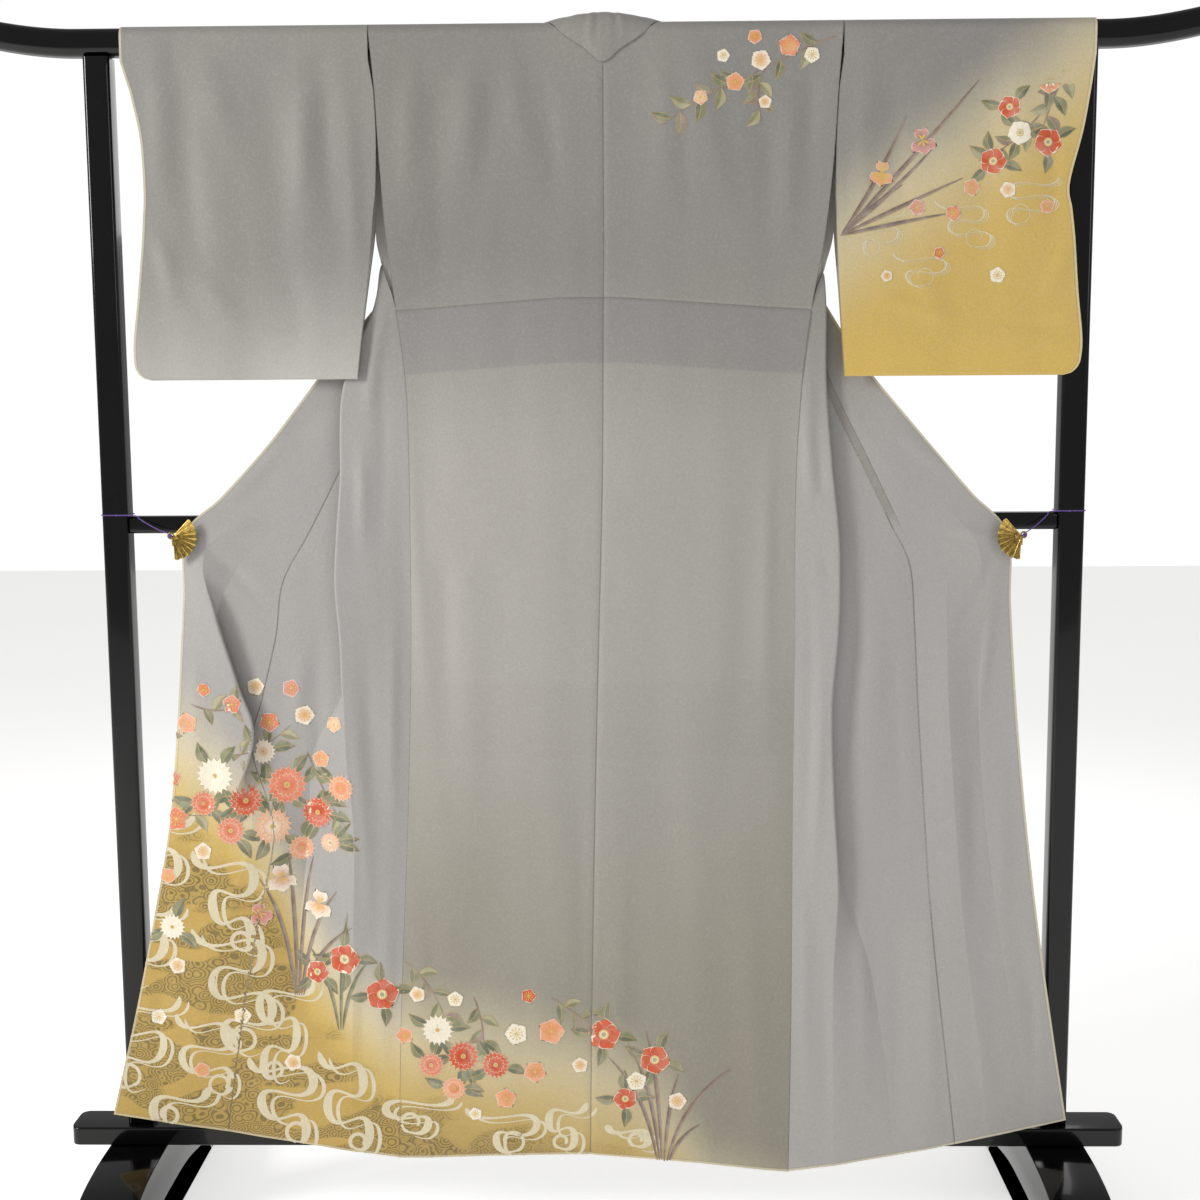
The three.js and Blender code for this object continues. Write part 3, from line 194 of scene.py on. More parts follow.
SLEEVE = {
    -1: table(
        "z inner outer far_outer near far near_cuff far_cuff",
        (1600, -286, -614, -614, -18.6, 18.2, -18.4, 18.2),
        (1540, -284, -603, -604, -19, 17.6, -18, 14),
        (1470, -286, -601, -601, -20, 16, -17, 4),
        (1435, -290, -604, -604, -21, 13, -15, -8),
        (1400, -293, -607, -607, -22, 7, -15, -10),
        (1325, -301, -616, -616, -25, -16, -15, -10),
        (1262, -309, -624, -624, -29, -24, -15, -10),
        (1220, -314, -622, -622, -29.5, -25.5, -15, -11),
    ),
    1: table(
        "z inner outer far_outer near far near_cuff far_cuff",
        (1600, 334, 669, 669, -18.6, 18.2, -19, 19.6),
        (1540, 331, 659, 638, -19, 17.6, -21, 18),
        (1470, 330, 642, 637, -20, 16, -24, -2),
        (1435, 331, 646, 640, -21, 13, -26, -20),
        (1400, 332, 650, 650, -22, 7, -27, -21.5),
        (1325, 336, 657, 657, -25, -16, -27, -21.5),
        (1262, 340, 664, 664, -29, -24, -27, -21.5),
        (1220, 343, 660, 660, -29.5, -25.5, -27, -22),
    ),
}
COLLAR = {
    -1: table(
        "seam_x seam_y seam_z ridge_x ridge_y ridge_z free_x free_y free_z",
        (-549, -17, 1006, -527, -15.5, 989, -505, -15, 973),
        (-508, -17, 1054, -484, -15, 1036, -461, -14.5, 1018),
        (-440, -12.2, 1129, -416, -10, 1111, -393, -8, 1093),
        (-351, -2.2, 1243, -327, 0.5, 1226, -304, 3, 1209),
        (-272, 8, 1338, -248, 10, 1321, -224, 13, 1304),
        (-203, 16, 1428, -178, 18, 1412, -154, 20, 1396),
        (-155, 21, 1500, -130, 23, 1488, -105, 24, 1476),
        (-106, 25.6, 1598, -80, 26.5, 1592, -54, 26.5, 1586),
    ),
    1: table(
        "seam_x seam_y seam_z ridge_x ridge_y ridge_z free_x free_y free_z",
        (560, -17, 1002, 538, -15.5, 985, 516, -15, 969),
        (520, -17, 1056, 496, -15, 1038, 473, -14.5, 1020),
        (454, -12.2, 1133, 430, -10, 1115, 407, -8, 1097),
        (371, -2.2, 1234, 347, 0.5, 1217, 324, 3, 1200),
        (306, 8, 1338, 282, 10, 1321, 258, 13, 1304),
        (243, 16, 1428, 218, 18, 1412, 194, 20, 1396),
        (195, 21, 1500, 170, 23, 1488, 145, 24, 1476),
        (146, 25.6, 1598, 120, 26.5, 1592, 94, 26.5, 1586),
    ),
}
# Soft creases, one table for every layer of the cloth: from one end to the other on the spread garment,
# half width, and depth towards -Y (a negative depth is a trough).
CREASES = table(
    "x0 z0 x1 z1 width depth",
    (-228, 1670, -236, 1380, 17, 2.6), (-196, 1670, -212, 1290, 15, -1.9), (-168, 1670, -176, 1460, 20, 2.2),
    (-128, 1660, -150, 1340, 16, -1.6), (-92, 1672, -84, 1480, 15, 1.8), (-58, 1660, -52, 1400, 14, -1.5),
    (88, 1665, 106, 1440, 15, 2.0), (118, 1670, 148, 1380, 13, -1.6), (160, 1672, 190, 1360, 18, 1.8),
    (226, 1672, 236, 1400, 14, -1.9), (262, 1672, 272, 1350, 15, 2.5), (306, 1672, 300, 1440, 12, -1.6),
    (-246, 1260, -236, 700, 12, 2.6), (-214, 1180, -206, 620, 16, -1.8), (-182, 980, -160, 330, 24, 1.8),
    (-120, 1180, -104, 760, 26, -1.2), (-66, 900, -48, 210, 22, 1.5), (-24, 700, -18, 160, 12, -1.3),
    (40, 640, 44, 150, 16, 1.6), (88, 1000, 96, 420, 28, -1.2), (136, 700, 128, 150, 22, 1.7),
    (196, 1150, 200, 520, 22, -1.6), (246, 1210, 248, 640, 13, 2.3), (232, 560, 222, 130, 18, 1.8),
    (-250, 560, -258, 150, 14, 1.8), (-100, 460, -92, 130, 14, -1.3), (-270, 1330, -306, 1150, 9, 3.0),
    (-306, 1150, -322, 960, 8, 2.4), (-286, 1250, -292, 930, 9, -2.2), (-274, 1000, -276, 560, 8, 2.0),
    (-306, 900, -300, 520, 12, -2.0), (-330, 800, -318, 420, 9, 1.8), (-292, 620, -300, 190, 12, 2.2),
    (-322, 460, -326, 170, 10, -1.6), (-372, 880, -392, 640, 10, -2.4), (-400, 860, -430, 700, 9, 2.0),
    (-380, 560, -402, 230, 11, 1.9), (-420, 420, -456, 160, 11, -1.7), (-548, 1004, -420, 1020, 8, 2.0),
    (-546, 996, -448, 900, 9, -2.3), (-470, 1110, -360, 1180, 12, -1.8), (-520, 1040, -400, 1150, 10, 1.7),
    (-548, 860, -560, 690, 10, 2.2), (-530, 760, -548, 560, 11, -2.0), (-566, 700, -596, 420, 12, 1.8),
    (-520, 560, -560, 300, 14, 2.0), (-600, 460, -646, 190, 12, -1.5), (-560, 330, -596, 165, 13, 1.5),
    (300, 1290, 304, 1010, 9, 2.6), (314, 1180, 322, 880, 7, -1.8), (296, 1000, 300, 560, 9, -2.0),
    (318, 900, 314, 470, 9, 2.2), (302, 560, 306, 120, 10, 1.9), (326, 480, 326, 120, 9, -1.6),
    (362, 1010, 356, 640, 12, -3.2), (392, 940, 400, 560, 12, 2.0), (424, 900, 430, 560, 9, -1.8),
    (370, 620, 380, 140, 12, 1.9), (420, 500, 440, 140, 14, -1.8), (470, 620, 486, 150, 10, 1.6),
    (556, 996, 470, 1010, 8, 1.9), (556, 988, 500, 850, 9, -2.4), (548, 940, 540, 700, 9, 2.4),
    (500, 1100, 400, 1180, 13, -1.6), (516, 1060, 420, 1150, 10, 1.6), (516, 760, 540, 420, 12, -1.8),
    (566, 700, 590, 330, 12, 1.9), (540, 430, 566, 150, 13, 1.5), (600, 460, 632, 180, 12, -1.5),
    (-585, 1680, -572, 1420, 16, 2.8), (-548, 1680, -520, 1330, 18, -2.2), (-500, 1680, -470, 1450, 22, 2.0),
    (-440, 1680, -424, 1300, 20, -1.8), (-392, 1680, -372, 1400, 16, 2.6), (-348, 1680, -340, 1350, 13, -2.3),
    (-316, 1650, -322, 1330, 10, 2.2), (-600, 1440, -560, 1300, 14, 2.4), (-600, 1296, -420, 1302, 9, 1.6),
    (-440, 1288, -330, 1292, 8, -1.5), (-560, 1400, -470, 1250, 18, 1.6), (-420, 1380, -380, 1240, 16, -1.5),
    (370, 1680, 378, 1380, 14, 2.6), (408, 1680, 424, 1340, 17, -2.0), (452, 1680, 470, 1400, 20, 1.9),
    (520, 1680, 536, 1300, 22, -1.8), (580, 1680, 590, 1420, 16, 2.4), (628, 1650, 616, 1360, 12, -2.4),
    (648, 1430, 600, 1290, 13, 2.2), (380, 1320, 520, 1292, 10, 1.5), (540, 1290, 650, 1284, 9, -1.5),
    (440, 1380, 480, 1240, 18, 1.5),
)


# ------------------------------------------------------------------ curves and surfaces
def smooth(values, place):
    """Values at fractional places: a cubic between neighbours whose slopes are half the step across each."""
    values = np.asarray(values, float)
    place = np.atleast_1d(np.asarray(place, float))
    slope = np.empty_like(values)
    slope[1:-1] = (values[2:] - values[:-2]) / 2
    slope[0] = values[1] - values[0]
    slope[-1] = values[-1] - values[-2]
    i = np.clip(np.floor(place).astype(int), 0, len(values) - 2)
    t = (place - i).reshape((-1,) + (1,) * (values.ndim - 1))
    t2, t3 = t * t, t * t * t
    return (
        (2 * t3 - 3 * t2 + 1) * values[i]
        + (t3 - 2 * t2 + t) * slope[i]
        + (3 * t2 - 2 * t3) * values[i + 1]
        + (t3 - t2) * slope[i + 1]
    )


def hem_at(x):
    """Height of the hem under a place, straight between the rows of its table."""
    return np.interp(x, HEM["x"], HEM["z"])


def back_at(z, side):
    """Side edge and its depth of a back at given heights, the same on both sides of a side seam."""
    edge = EDGE[side]
    fine = np.linspace(1, len(BACK["z"]) - 1, 400)
    place = np.interp(z, smooth(BACK["z"], fine), fine)
    hem = hem_at(BACK[edge][0])
    low = z < BACK["z"][1]
    place = np.where(low, (z - hem) / (BACK["z"][1] - hem), place)
    place = np.clip(place, 0, len(BACK["z"]) - 1)
    return smooth(BACK[edge], place), smooth(BACK["side_y"], place)


def over_bar(count):
    """Depth and height of the cloth round the bar, from its near side over the top to its far side."""
    radius, flat, height = 14.15, 4.0, 1672.5
    turn = np.linspace(math.pi, math.pi / 2, count)
    near = np.stack([-flat + radius * np.cos(turn), height + radius * np.sin(turn)], 1)
    far = near[::-1] * (-1, 1)
    rise = np.linspace(1640, 1671, 9)
    side = np.full(9, flat + radius)
    return np.concatenate([np.stack([-side, rise], 1), near, far, np.stack([side, rise[::-1]], 1)])


def neck_half(y, z):
    """Half width of the neckline at a depth and height, read off the nearest stretch of its table."""
    y, z = np.atleast_1d(y), np.atleast_1d(z)
    ends = np.stack([NECK["y"], NECK["z"]], 1)
    run = ends[1:] - ends[:-1]
    point = np.stack([y, z], 1)[:, None, :]
    t = np.clip(((point - ends[:-1]) * run).sum(2) / (run**2).sum(1), 0, 1)
    gap = np.linalg.norm(point - ends[:-1] - t[..., None] * run, axis=2)
    best = gap.argmin(1)
    t = t[np.arange(len(best)), best]
    return NECK["half"][best] * (1 - t) + NECK["half"][best + 1] * t


def hang(grid):
    """The grid with its creases and slow waves, every layer at a place moved alike towards -Y.

    A crease is a bell across its line, which wanders a little, and fades out to both of its ends. Nothing is
    pressed into the bar, the crossbar or an upright: near them only ridges that stand clear are kept.
    """
    x, y, z = grid[..., 0], grid[..., 1], grid[..., 2]
    total = (
        0.7 * np.sin(x / 37 + z / 420 + 0.6)
        + 0.45 * np.sin(x / 19 - z / 260 + 2.1)
        + 0.3 * np.sin(x / 61 + z / 90)
        + 0.18 * np.sin(x / 9.5 + z / 150 + 1.2)
    )
    for i in range(len(CREASES["x0"])):
        start = np.array([CREASES["x0"][i], CREASES["z0"][i]])
        run = np.array([CREASES["x1"][i], CREASES["z1"][i]]) - start
        length, width = np.hypot(*run), CREASES["width"][i]
        t = ((x - start[0]) * run[0] + (z - start[1]) * run[1]) / length**2
        wander = 0.55 * width * np.sin(t * 3.1 + i * 1.7)
        across = ((x - start[0]) * run[1] - (z - start[1]) * run[0]) / length - wander
        fade = ease(1.08 - np.abs(t - 0.5) * 2)
        swell = 1 + 0.3 * np.sin(t * 5.3 + i * 2.3)
        total += CREASES["depth"][i] * swell * fade * np.exp(-((across / width) ** 2))
    ridges = np.maximum(total, 0)
    tight = np.maximum(ease((z - 1600) / 30), ease((70 - np.abs(z - 1018)) / 45))
    tight = np.maximum(tight, ease((38 - np.abs(np.abs(x) - 660)) / 14))
    total = total * (1 - tight) + ridges * tight
    total *= np.where(y > 6, ease((1640 - z) / 70), ease((1688 - z) / 34))
    moved = grid.copy()
    moved[..., 1] -= total
    return moved


def ease(t):
    """0 below 0, 1 above 1, smooth between."""
    t = np.clip(t, 0, 1)
    return t * t * (3 - 2 * t)


def round_folds(points, radius, counts):
    """Lines across the cloth that run round every fold as a string runs round pegs.

    points is rows by four by three. Every leg is shifted to the outside of the pegs it joins, an arc turns
    round each peg, and the columns lie closer together near the folds.
    """
    flat, heights = points[:, :, :2], points[:, :, 2]
    leg = np.diff(flat, axis=1)
    leg = leg / np.linalg.norm(leg, axis=2, keepdims=True)
    cross = leg[:, :-1, 0] * leg[:, 1:, 1] - leg[:, :-1, 1] * leg[:, 1:, 0]
    turn = np.arctan2(cross, (leg[:, :-1] * leg[:, 1:]).sum(2))
    sign = np.zeros(flat.shape[:2])
    sign[:, 1:-1] = np.clip(turn / 1.9, -1, 1)
    reach = sign * np.reshape(radius, (-1, 1))
    normal = np.stack([leg[..., 1], -leg[..., 0]], -1)
    path, height, marks = [], [], [0]
    for i in range(3):
        if i:
            marks.append(len(path) + 5)
            for k in range(1, 12):
                c, s = np.cos(turn[:, i - 1] * k / 12), np.sin(turn[:, i - 1] * k / 12)
                n = normal[:, i - 1]
                spun = np.stack([n[:, 0] * c - n[:, 1] * s, n[:, 0] * s + n[:, 1] * c], 1)
                path.append(flat[:, i] + spun * reach[:, i : i + 1])
                height.append(heights[:, i])
        path.append(flat[:, i] + normal[:, i] * reach[:, i : i + 1])
        height.append(heights[:, i])
        path.append(flat[:, i + 1] + normal[:, i] * reach[:, i + 1 : i + 2])
        height.append(heights[:, i + 1])
    marks.append(len(path) - 1)
    path, height = np.stack(path, 1), np.stack(height, 1)
    step = np.linalg.norm(np.diff(path, axis=1), axis=2) + 1e-6
    runs = np.concatenate([np.zeros((len(path), 1)), step.cumsum(1)], 1)
    where = []
    for i, count in enumerate(counts):
        t = np.linspace(0, 1, count + 1)[: None if i == 2 else -1]
        t = t - 0.84 * np.sin(2 * math.pi * t) / (2 * math.pi)
        where.append(runs[:, marks[i], None] * (1 - t) + runs[:, marks[i + 1], None] * t)
    where = np.concatenate(where, 1)
    shift = np.arange(len(path))[:, None] * 1e4
    wanted, known = (where + shift).ravel(), (runs + shift).ravel()
    read = lambda v: np.interp(wanted, known, v.ravel()).reshape(where.shape)
    return np.stack([read(path[..., 0]), read(path[..., 1]), read(height)], -1), where


# ------------------------------------------------------------------ meshes
def normals_of(grid, closed=False):
    """Unit normals of a grid of points, from the steps along it crossed with the steps across it."""
    if closed:
        along = np.roll(grid, -1, 0) - np.roll(grid, 1, 0)
    else:
        along = np.gradient(grid, axis=0)
    across = np.gradient(grid, axis=1)
    normal = np.cross(along, across)
    return normal / np.maximum(np.linalg.norm(normal, axis=2, keepdims=True), 1e-9)


def grid_faces(rows, columns, closed=False):
    """Quads of a grid, row by row."""
    i = np.arange(rows if closed else rows - 1)[:, None]
    j = np.arange(columns - 1)[None, :]
    k = (i + 1) % rows
    corners = [i * columns + j, k * columns + j, k * columns + j + 1, i * columns + j + 1]
    return np.stack(corners, -1).reshape(-1, 4)


def shell(grid, thickness, uv, edge, outward, probe, closed=False):
    """A wall about a grid: points half the thickness to each side, and a strip along every edge.

    The printed face is the one that looks along outward at row probe. Returns points, quads, a side for
    each quad (0 printed, 1 lining), and for each point its uv and what edge says of it.
    """
    normal = normals_of(grid, closed)
    if normal[probe].mean(0) @ np.asarray(outward, float) < 0:
        normal = -normal
    rows, columns = grid.shape[:2]
    half = rows * columns
    points = np.concatenate([grid + normal * thickness / 2, grid - normal * thickness / 2]).reshape(-1, 3)
    quads = grid_faces(rows, columns, closed)
    corners = grid.reshape(-1, 3)[quads]
    facing = np.cross(corners[:, 1] - corners[:, 0], corners[:, 3] - corners[:, 0])
    if (facing * normal.reshape(-1, 3)[quads[:, 0]]).sum() < 0:
        quads = quads[:, ::-1]
    ring = np.arange(rows + 1 if closed else rows) % rows
    loops = [ring * columns, ring * columns + columns - 1]
    if not closed:
        loops += [np.arange(columns), (rows - 1) * columns + np.arange(columns)]
    strips = [np.stack([l[:-1], l[1:], l[1:] + half, l[:-1] + half], 1) for l in loops]
    faces = np.concatenate([quads, quads[:, ::-1] + half] + strips)
    kind = np.concatenate([np.zeros(len(quads)), np.ones(len(quads)), np.zeros(sum(map(len, strips)))])
    both = lambda v: np.concatenate([v.reshape(half, -1)] * 2)
    return points, faces, kind.astype(int), both(uv), both(edge)


def join(*parts):
    """Several shells as one."""
    start = np.cumsum([0] + [len(p[0]) for p in parts[:-1]])
    return (
        np.concatenate([p[0] for p in parts]),
        np.concatenate([p[1] + s for p, s in zip(parts, start)]),
        np.concatenate([p[2] for p in parts]),
        np.concatenate([p[3] for p in parts]),
        np.concatenate([p[4] for p in parts]),
    )


def face_out(mesh):
    """Turns every face of a closed mesh to look outwards."""
    work = bmesh.new()
    work.from_mesh(mesh)
    bmesh.ops.recalc_face_normals(work, faces=work.faces)
    work.to_mesh(mesh)
    work.free()


def mesh_object(name, points, faces, smooth_shading=True):
    """An object at the origin from points in millimetres and faces of three or four corners."""
    mesh = bpy.data.meshes.new(name)
    mesh.from_pydata((points * MM).tolist(), [], faces if isinstance(faces, list) else faces.tolist())
    mesh.update()
    obj = bpy.data.objects.new(name, mesh)
    scene.collection.objects.link(obj)
    if smooth_shading:
        mesh.polygons.foreach_set("use_smooth", np.ones(len(mesh.polygons), bool))
    return obj


def cloth_object(name, part, materials, sharp=60):
    """A cloth piece with its materials, and its uv and distances from finished and sewn edges in metres."""
    points, faces, kind, uv, edge = part
    obj = mesh_object(name, points, faces)
    mesh = obj.data
    for material in materials:
        mesh.materials.append(material)
    mesh.polygons.foreach_set("material_index", kind.astype(np.int32))
    corner = np.empty(len(mesh.loops), np.int32)
    mesh.loops.foreach_get("vertex_index", corner)
    layer = mesh.uv_layers.new(name="cloth")
    layer.data.foreach_set("uv", (uv[corner] * MM).astype(np.float32).ravel())
    for i, far in enumerate(("edge", "seam")):
        attribute = mesh.attributes.new(far, "FLOAT", "POINT")
        attribute.data.foreach_set("value", (edge[:, i] * MM).astype(np.float32))
    mesh.set_sharp_from_angle(angle=math.radians(sharp))
    face_out(mesh)
    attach(obj, "root")
    return obj


# ------------------------------------------------------------------ shader maths
class Wire:
    """One shader value. Arithmetic on it adds Math nodes; node() adds any other node."""

    def __init__(self, tree, socket=None):
        self.tree, self.socket = tree, socket

    def node(self, kind, settings=None, values=None, output=0):
        """Adds a node: its settings first, then the values or links of its sockets; returns one output."""
        made = self.tree.nodes.new(kind)
        for name, value in (settings or {}).items():
            if name == "stops":
                ramp = made.color_ramp
                for i, (place, shade) in enumerate(value):
                    stop = ramp.elements[i] if i < len(ramp.elements) else ramp.elements.new(place)
                    stop.position = place
                    stop.color = shade if len(shade) == 4 else (*shade, 1)
            else:
                setattr(made, name, value)
        for name, value in (values or {}).items():
            if isinstance(value, Wire):
                self.tree.links.new(value.socket, made.inputs[name])
            elif value is not None:
                made.inputs[name].default_value = value
        return Wire(self.tree, made.outputs[output])

    def maths(self, operation, *values):
        """A Math node on the given values."""
        return self.node("ShaderNodeMath", {"operation": operation}, dict(enumerate(values)))

    def __add__(self, other):
        return self.maths("ADD", self, other)

    def __sub__(self, other):
        return self.maths("SUBTRACT", self, other)

    def __mul__(self, other):
        return self.maths("MULTIPLY", self, other)

    def __rsub__(self, other):
        return self.maths("SUBTRACT", other, self)

    __radd__, __rmul__ = __add__, __mul__

    def step(self, low, high):
        """0 at low, 1 at high, smooth between; low may be above high."""
        settings = {"interpolation_type": "SMOOTHSTEP"}
        values = {"Value": self, "From Min": min(low, high), "From Max": max(low, high)}
        if low >= high:
            values |= {"To Min": 1.0, "To Max": 0.0}
        return self.node("ShaderNodeMapRange", settings, values)

    def line(self, width):
        """A soft line where the value is nought: 1 there, 0 once it is width away."""
        return self.maths("ABSOLUTE", self).step(width, 0)

    def noise(self, place, scale, detail=2.0, rough=0.5, warp=0.0):
        """Cloudy noise read at a place, from 0 to 1."""
        values = {"Vector": place, "Scale": scale, "Detail": detail, "Roughness": rough, "Distortion": warp}
        return self.node("ShaderNodeTexNoise", {}, values)

    def scaled(self, place, factors):
        """A place times a factor along each axis."""
        return self.node("ShaderNodeVectorMath", {"operation": "MULTIPLY"}, {0: place, 1: factors})

    def blend(self, factor, first, second):
        """A colour that goes from first to second as factor goes from 0 to 1."""
        made = self.tree.nodes.new("ShaderNodeMix")
        made.data_type = "RGBA"
        for name, value in (("Factor", factor), ("A", first), ("B", second)):
            socket = next(s for s in made.inputs if s.name == name and s.enabled)
            if isinstance(value, Wire):
                self.tree.links.new(value.socket, socket)
            else:
                socket.default_value = value
        return Wire(self.tree, next(s for s in made.outputs if s.enabled))


def tint(code):
    """A colour from its hexadecimal code, in linear light."""
    parts = [int(code[i : i + 2], 16) / 255 for i in (0, 2, 4)]
    return tuple(v / 12.92 if v < 0.04045 else ((v + 0.055) / 1.055) ** 2.4 for v in parts) + (1.0,)


def finish(name, **sockets):
    """A material with its shader's plain sockets set, and the wire to build on."""
    material = bpy.data.materials.new(name)
    material.use_nodes = True
    tree = material.node_tree
    shader = tree.nodes["Principled BSDF"]
    for socket, value in sockets.items():
        shader.inputs[socket.replace("_", " ")].default_value = value
    return material, Wire(tree), shader


def plug(wire, shader, **links):
    """Links values to the shader's sockets by name."""
    for socket, value in links.items():
        wire.tree.links.new(value.socket, shader.inputs[socket.replace("_", " ")])


def bump(wire, height, depth, strength=1.0, normal=None):
    """A normal tilted by a height, over another normal where one is given."""
    values = {"Height": height, "Distance": depth, "Strength": strength}
    if normal:
        values["Normal"] = normal
    return wire.node("ShaderNodeBump", {}, values)


# ------------------------------------------------------------------ silk
GREY = tint("a3a09a")
GREY_COOL = tint("a29f9d")
GREY_SLEEVE = tint("bdb9b5")
# Painted shade: the darker grey of the cloth high up.
GREY_UPPER_SHADE = tint("868480")
# Painted shade: the warmer, darker grey of the low back.
WARM_LOW_SHADE = tint("85806f")
CREAM = tint("ecdcae")
YELLOW = tint("cbac5c")
GOLD = tint("b89748")
GOLD_LINE = tint("5f5126")
PIPING = tint("d9cfae")
# Height of the tuck's seam: level across the middle, then sagging alike towards both sides.
TUCK = [(-310, 1306), (-240, 1310), (-40, 1324), (40, 1324), (240, 1310), (310, 1306)]
# Height under which the lower left of the garment is dyed yellow, at places along X.
DYE = [
    (-700, 760), (-600, 715), (-520, 650), (-450, 545), (-400, 410), (-350, 330), (-300, 285), (-250, 262),
    (-150, 240), (-50, 222), (50, 190), (110, 140), (170, 40), (700, -200),
]


def height_over(wire, x, rows, low, high):
    """A height that runs straight between rows of (X, Z), read at X; low and high are X's ends."""
    least, most = min(z for _, z in rows), max(z for _, z in rows)
    stops = [((a - low) / (high - low), ((z - least) / (most - least),) * 3) for a, z in rows]
    place = wire.node("ShaderNodeMapRange", {}, {"Value": x, "From Min": low * MM, "From Max": high * MM})
    ramp = wire.node("ShaderNodeValToRGB", {"stops": stops}, {"Fac": place})
    return ramp * ((most - least) * MM) + least * MM


def swirls(wire, place, x, z):
    """Fine curls: rings about scattered middles, evenly spaced, bent a little by a cloudy field."""
    drift = wire.noise(place, 30.0, 1.5) - 0.5
    flat = wire.node("ShaderNodeCombineXYZ", {}, {0: x + drift * 0.016, 2: (z + drift * 0.012) * 1.35})
    values = {"Vector": flat, "Scale": 46.0, "Randomness": 0.8}
    rings = wire.node("ShaderNodeTexVoronoi", {"feature": "F1"}, values)
    return wire.maths("SINE", rings * 34.0).step(-0.1, 0.6)


def silk(name, dyes=(), lining=False):
    """Figured silk crepe with a satin lustre; dyes are the parts of the garment's colouring it carries. Painted
    shade is laid into the colour too: darker high up, low on the back, and beside the right overlap's seam.
    """
    material, wire, shader = finish(
        name,
        Sheen_Weight=0.22,
        Sheen_Roughness=0.42,
        Specular_IOR_Level=0.42,
    )
    place = wire.node("ShaderNodeTexCoord", output=3)
    split = place.tree.nodes.new("ShaderNodeSeparateXYZ")
    place.tree.links.new(place.socket, split.inputs[0])
    x, z = Wire(wire.tree, split.outputs[0]), Wire(wire.tree, split.outputs[2])
    edge = wire.node("ShaderNodeAttribute", {"attribute_name": "edge"}, output=2)
    seam = wire.node("ShaderNodeAttribute", {"attribute_name": "seam"}, output=2)
    cloud = wire.noise(wire.scaled(place, (1.0, 1.0, 0.6)), 3.4, 2.0)
    grain = wire.noise(wire.scaled(place, (1.0, 1.0, 0.72)), 560.0, 3.0, 0.62)
    figure = wire.noise(place, 300.0, 2.0, 0.5, 0.4)
    slub = wire.noise(wire.scaled(place, (0.25, 1.0, 6.0)), 160.0, 1.0)
    if lining:
        colour = wire.blend(cloud.step(0.35, 0.7), tint("d8d5cf"), tint("cfcbc3"))
        skirt = (z + (cloud - 0.5) * 0.01).step(0.62, 0.58)
        colour = wire.blend(skirt, colour, GREY)
    else:
        # painted shade: the cloth turns darker from 1.2 m to 1.5 m up, towards the bar
        high = (z + cloud * 0.2).step(1.2, 1.5)
        main = GREY if "tuck" in dyes else GREY_COOL if "hem" in dyes else GREY_SLEEVE
        colour = wire.blend(high, main, GREY_UPPER_SHADE)
        if "tuck" in dyes:
            # painted shade: the upper left of the back darker still
            colour = wire.blend(high * x.step(0.0, -0.3) * 0.35, colour, tint("6c6a67"))
            # painted shade: the back darker and warmer low down, reaching higher towards its sides
            low = (z + cloud * 0.25 - wire.maths("ABSOLUTE", x * 0.5)).step(0.95, 0.35)
            colour = wire.blend(low * 0.75, colour, WARM_LOW_SHADE)
        colour = wire.blend(cloud.step(0.4, 0.75) * 0.25, colour, tint("a9a49a"))
    if "hem" in dyes:
        bound = height_over(wire, x, DYE, -700, 700)
        drift = wire.noise(place, 9.0, 2.0) - 0.5
        under = bound - z + drift * 0.05
        colour = wire.blend(under.step(-0.14, 0.02) * 0.65, colour, CREAM)
        colour = wire.blend(under.step(-0.05, 0.09), colour, YELLOW)
        ragged = wire.noise(wire.scaled(place, (0.5, 1, 1)), 26.0, 3.0) - 0.5
        deep = (under + ragged * 0.10).step(0.055, 0.13)
        deep = deep * x.step(0.10, 0.0)
        colour = wire.blend(deep * 0.8, colour, GOLD)
        patches = wire.noise(wire.scaled(place, (0.6, 0.3, 1.5)), 11.0, 1.5, 0.5, 0.4).step(0.46, 0.49)
        if "tuck" in dyes:
            # painted shade: the lowest 0.4 m of the back darkened, the dye with it
            colour = wire.blend(z.step(0.42, 0.08) * 0.24, colour, tint("6b6352"))
        lines = swirls(wire, place, x, z) * patches * deep
        colour = wire.blend(patches * deep * 0.3, colour, tint("8a7436"))
        colour = wire.blend(lines * 0.7, colour, GOLD_LINE)
    if "sleeve" in dyes:
        under = (x - 0.34) * 0.774 + 1.405 - z + (wire.noise(place, 7.0, 2.0) - 0.5) * 0.04
        colour = wire.blend(under.step(-0.12, 0.05) * 0.6, colour, CREAM)
        colour = wire.blend(under.step(-0.04, 0.16), colour, YELLOW)
        colour = wire.blend((z + cloud * 0.05).step(1.36, 1.25) * 0.35, colour, tint("d9b54f"))
    if "tuck" in dyes:
        tuck = height_over(wire, x, TUCK, -310, 310)
        below = tuck - z
        across = x.step(-0.27, -0.262) * x.step(0.312, 0.305)
        band = below.step(-0.0006, 0.0006) * below.step(0.089, 0.085) * across
        colour = wire.blend(band * 0.45, colour, tint("7f7e7e"))
        colour = wire.blend(below.line(0.0011) * across * 0.75, colour, tint("6c6862"))
        # painted shade: a faint darker band across the back from 0.70 to 0.80 m up
        fold = (z - 0.80 + (cloud - 0.5) * 0.01).step(0.004, -0.004) * (z - 0.70).step(-0.01, 0.0)
        colour = wire.blend(fold * 0.10, colour, tint("8f8a80"))
    colour = wire.blend(seam.step(0.0016, 0.0003) * 0.62, colour, tint("5f5b55"))
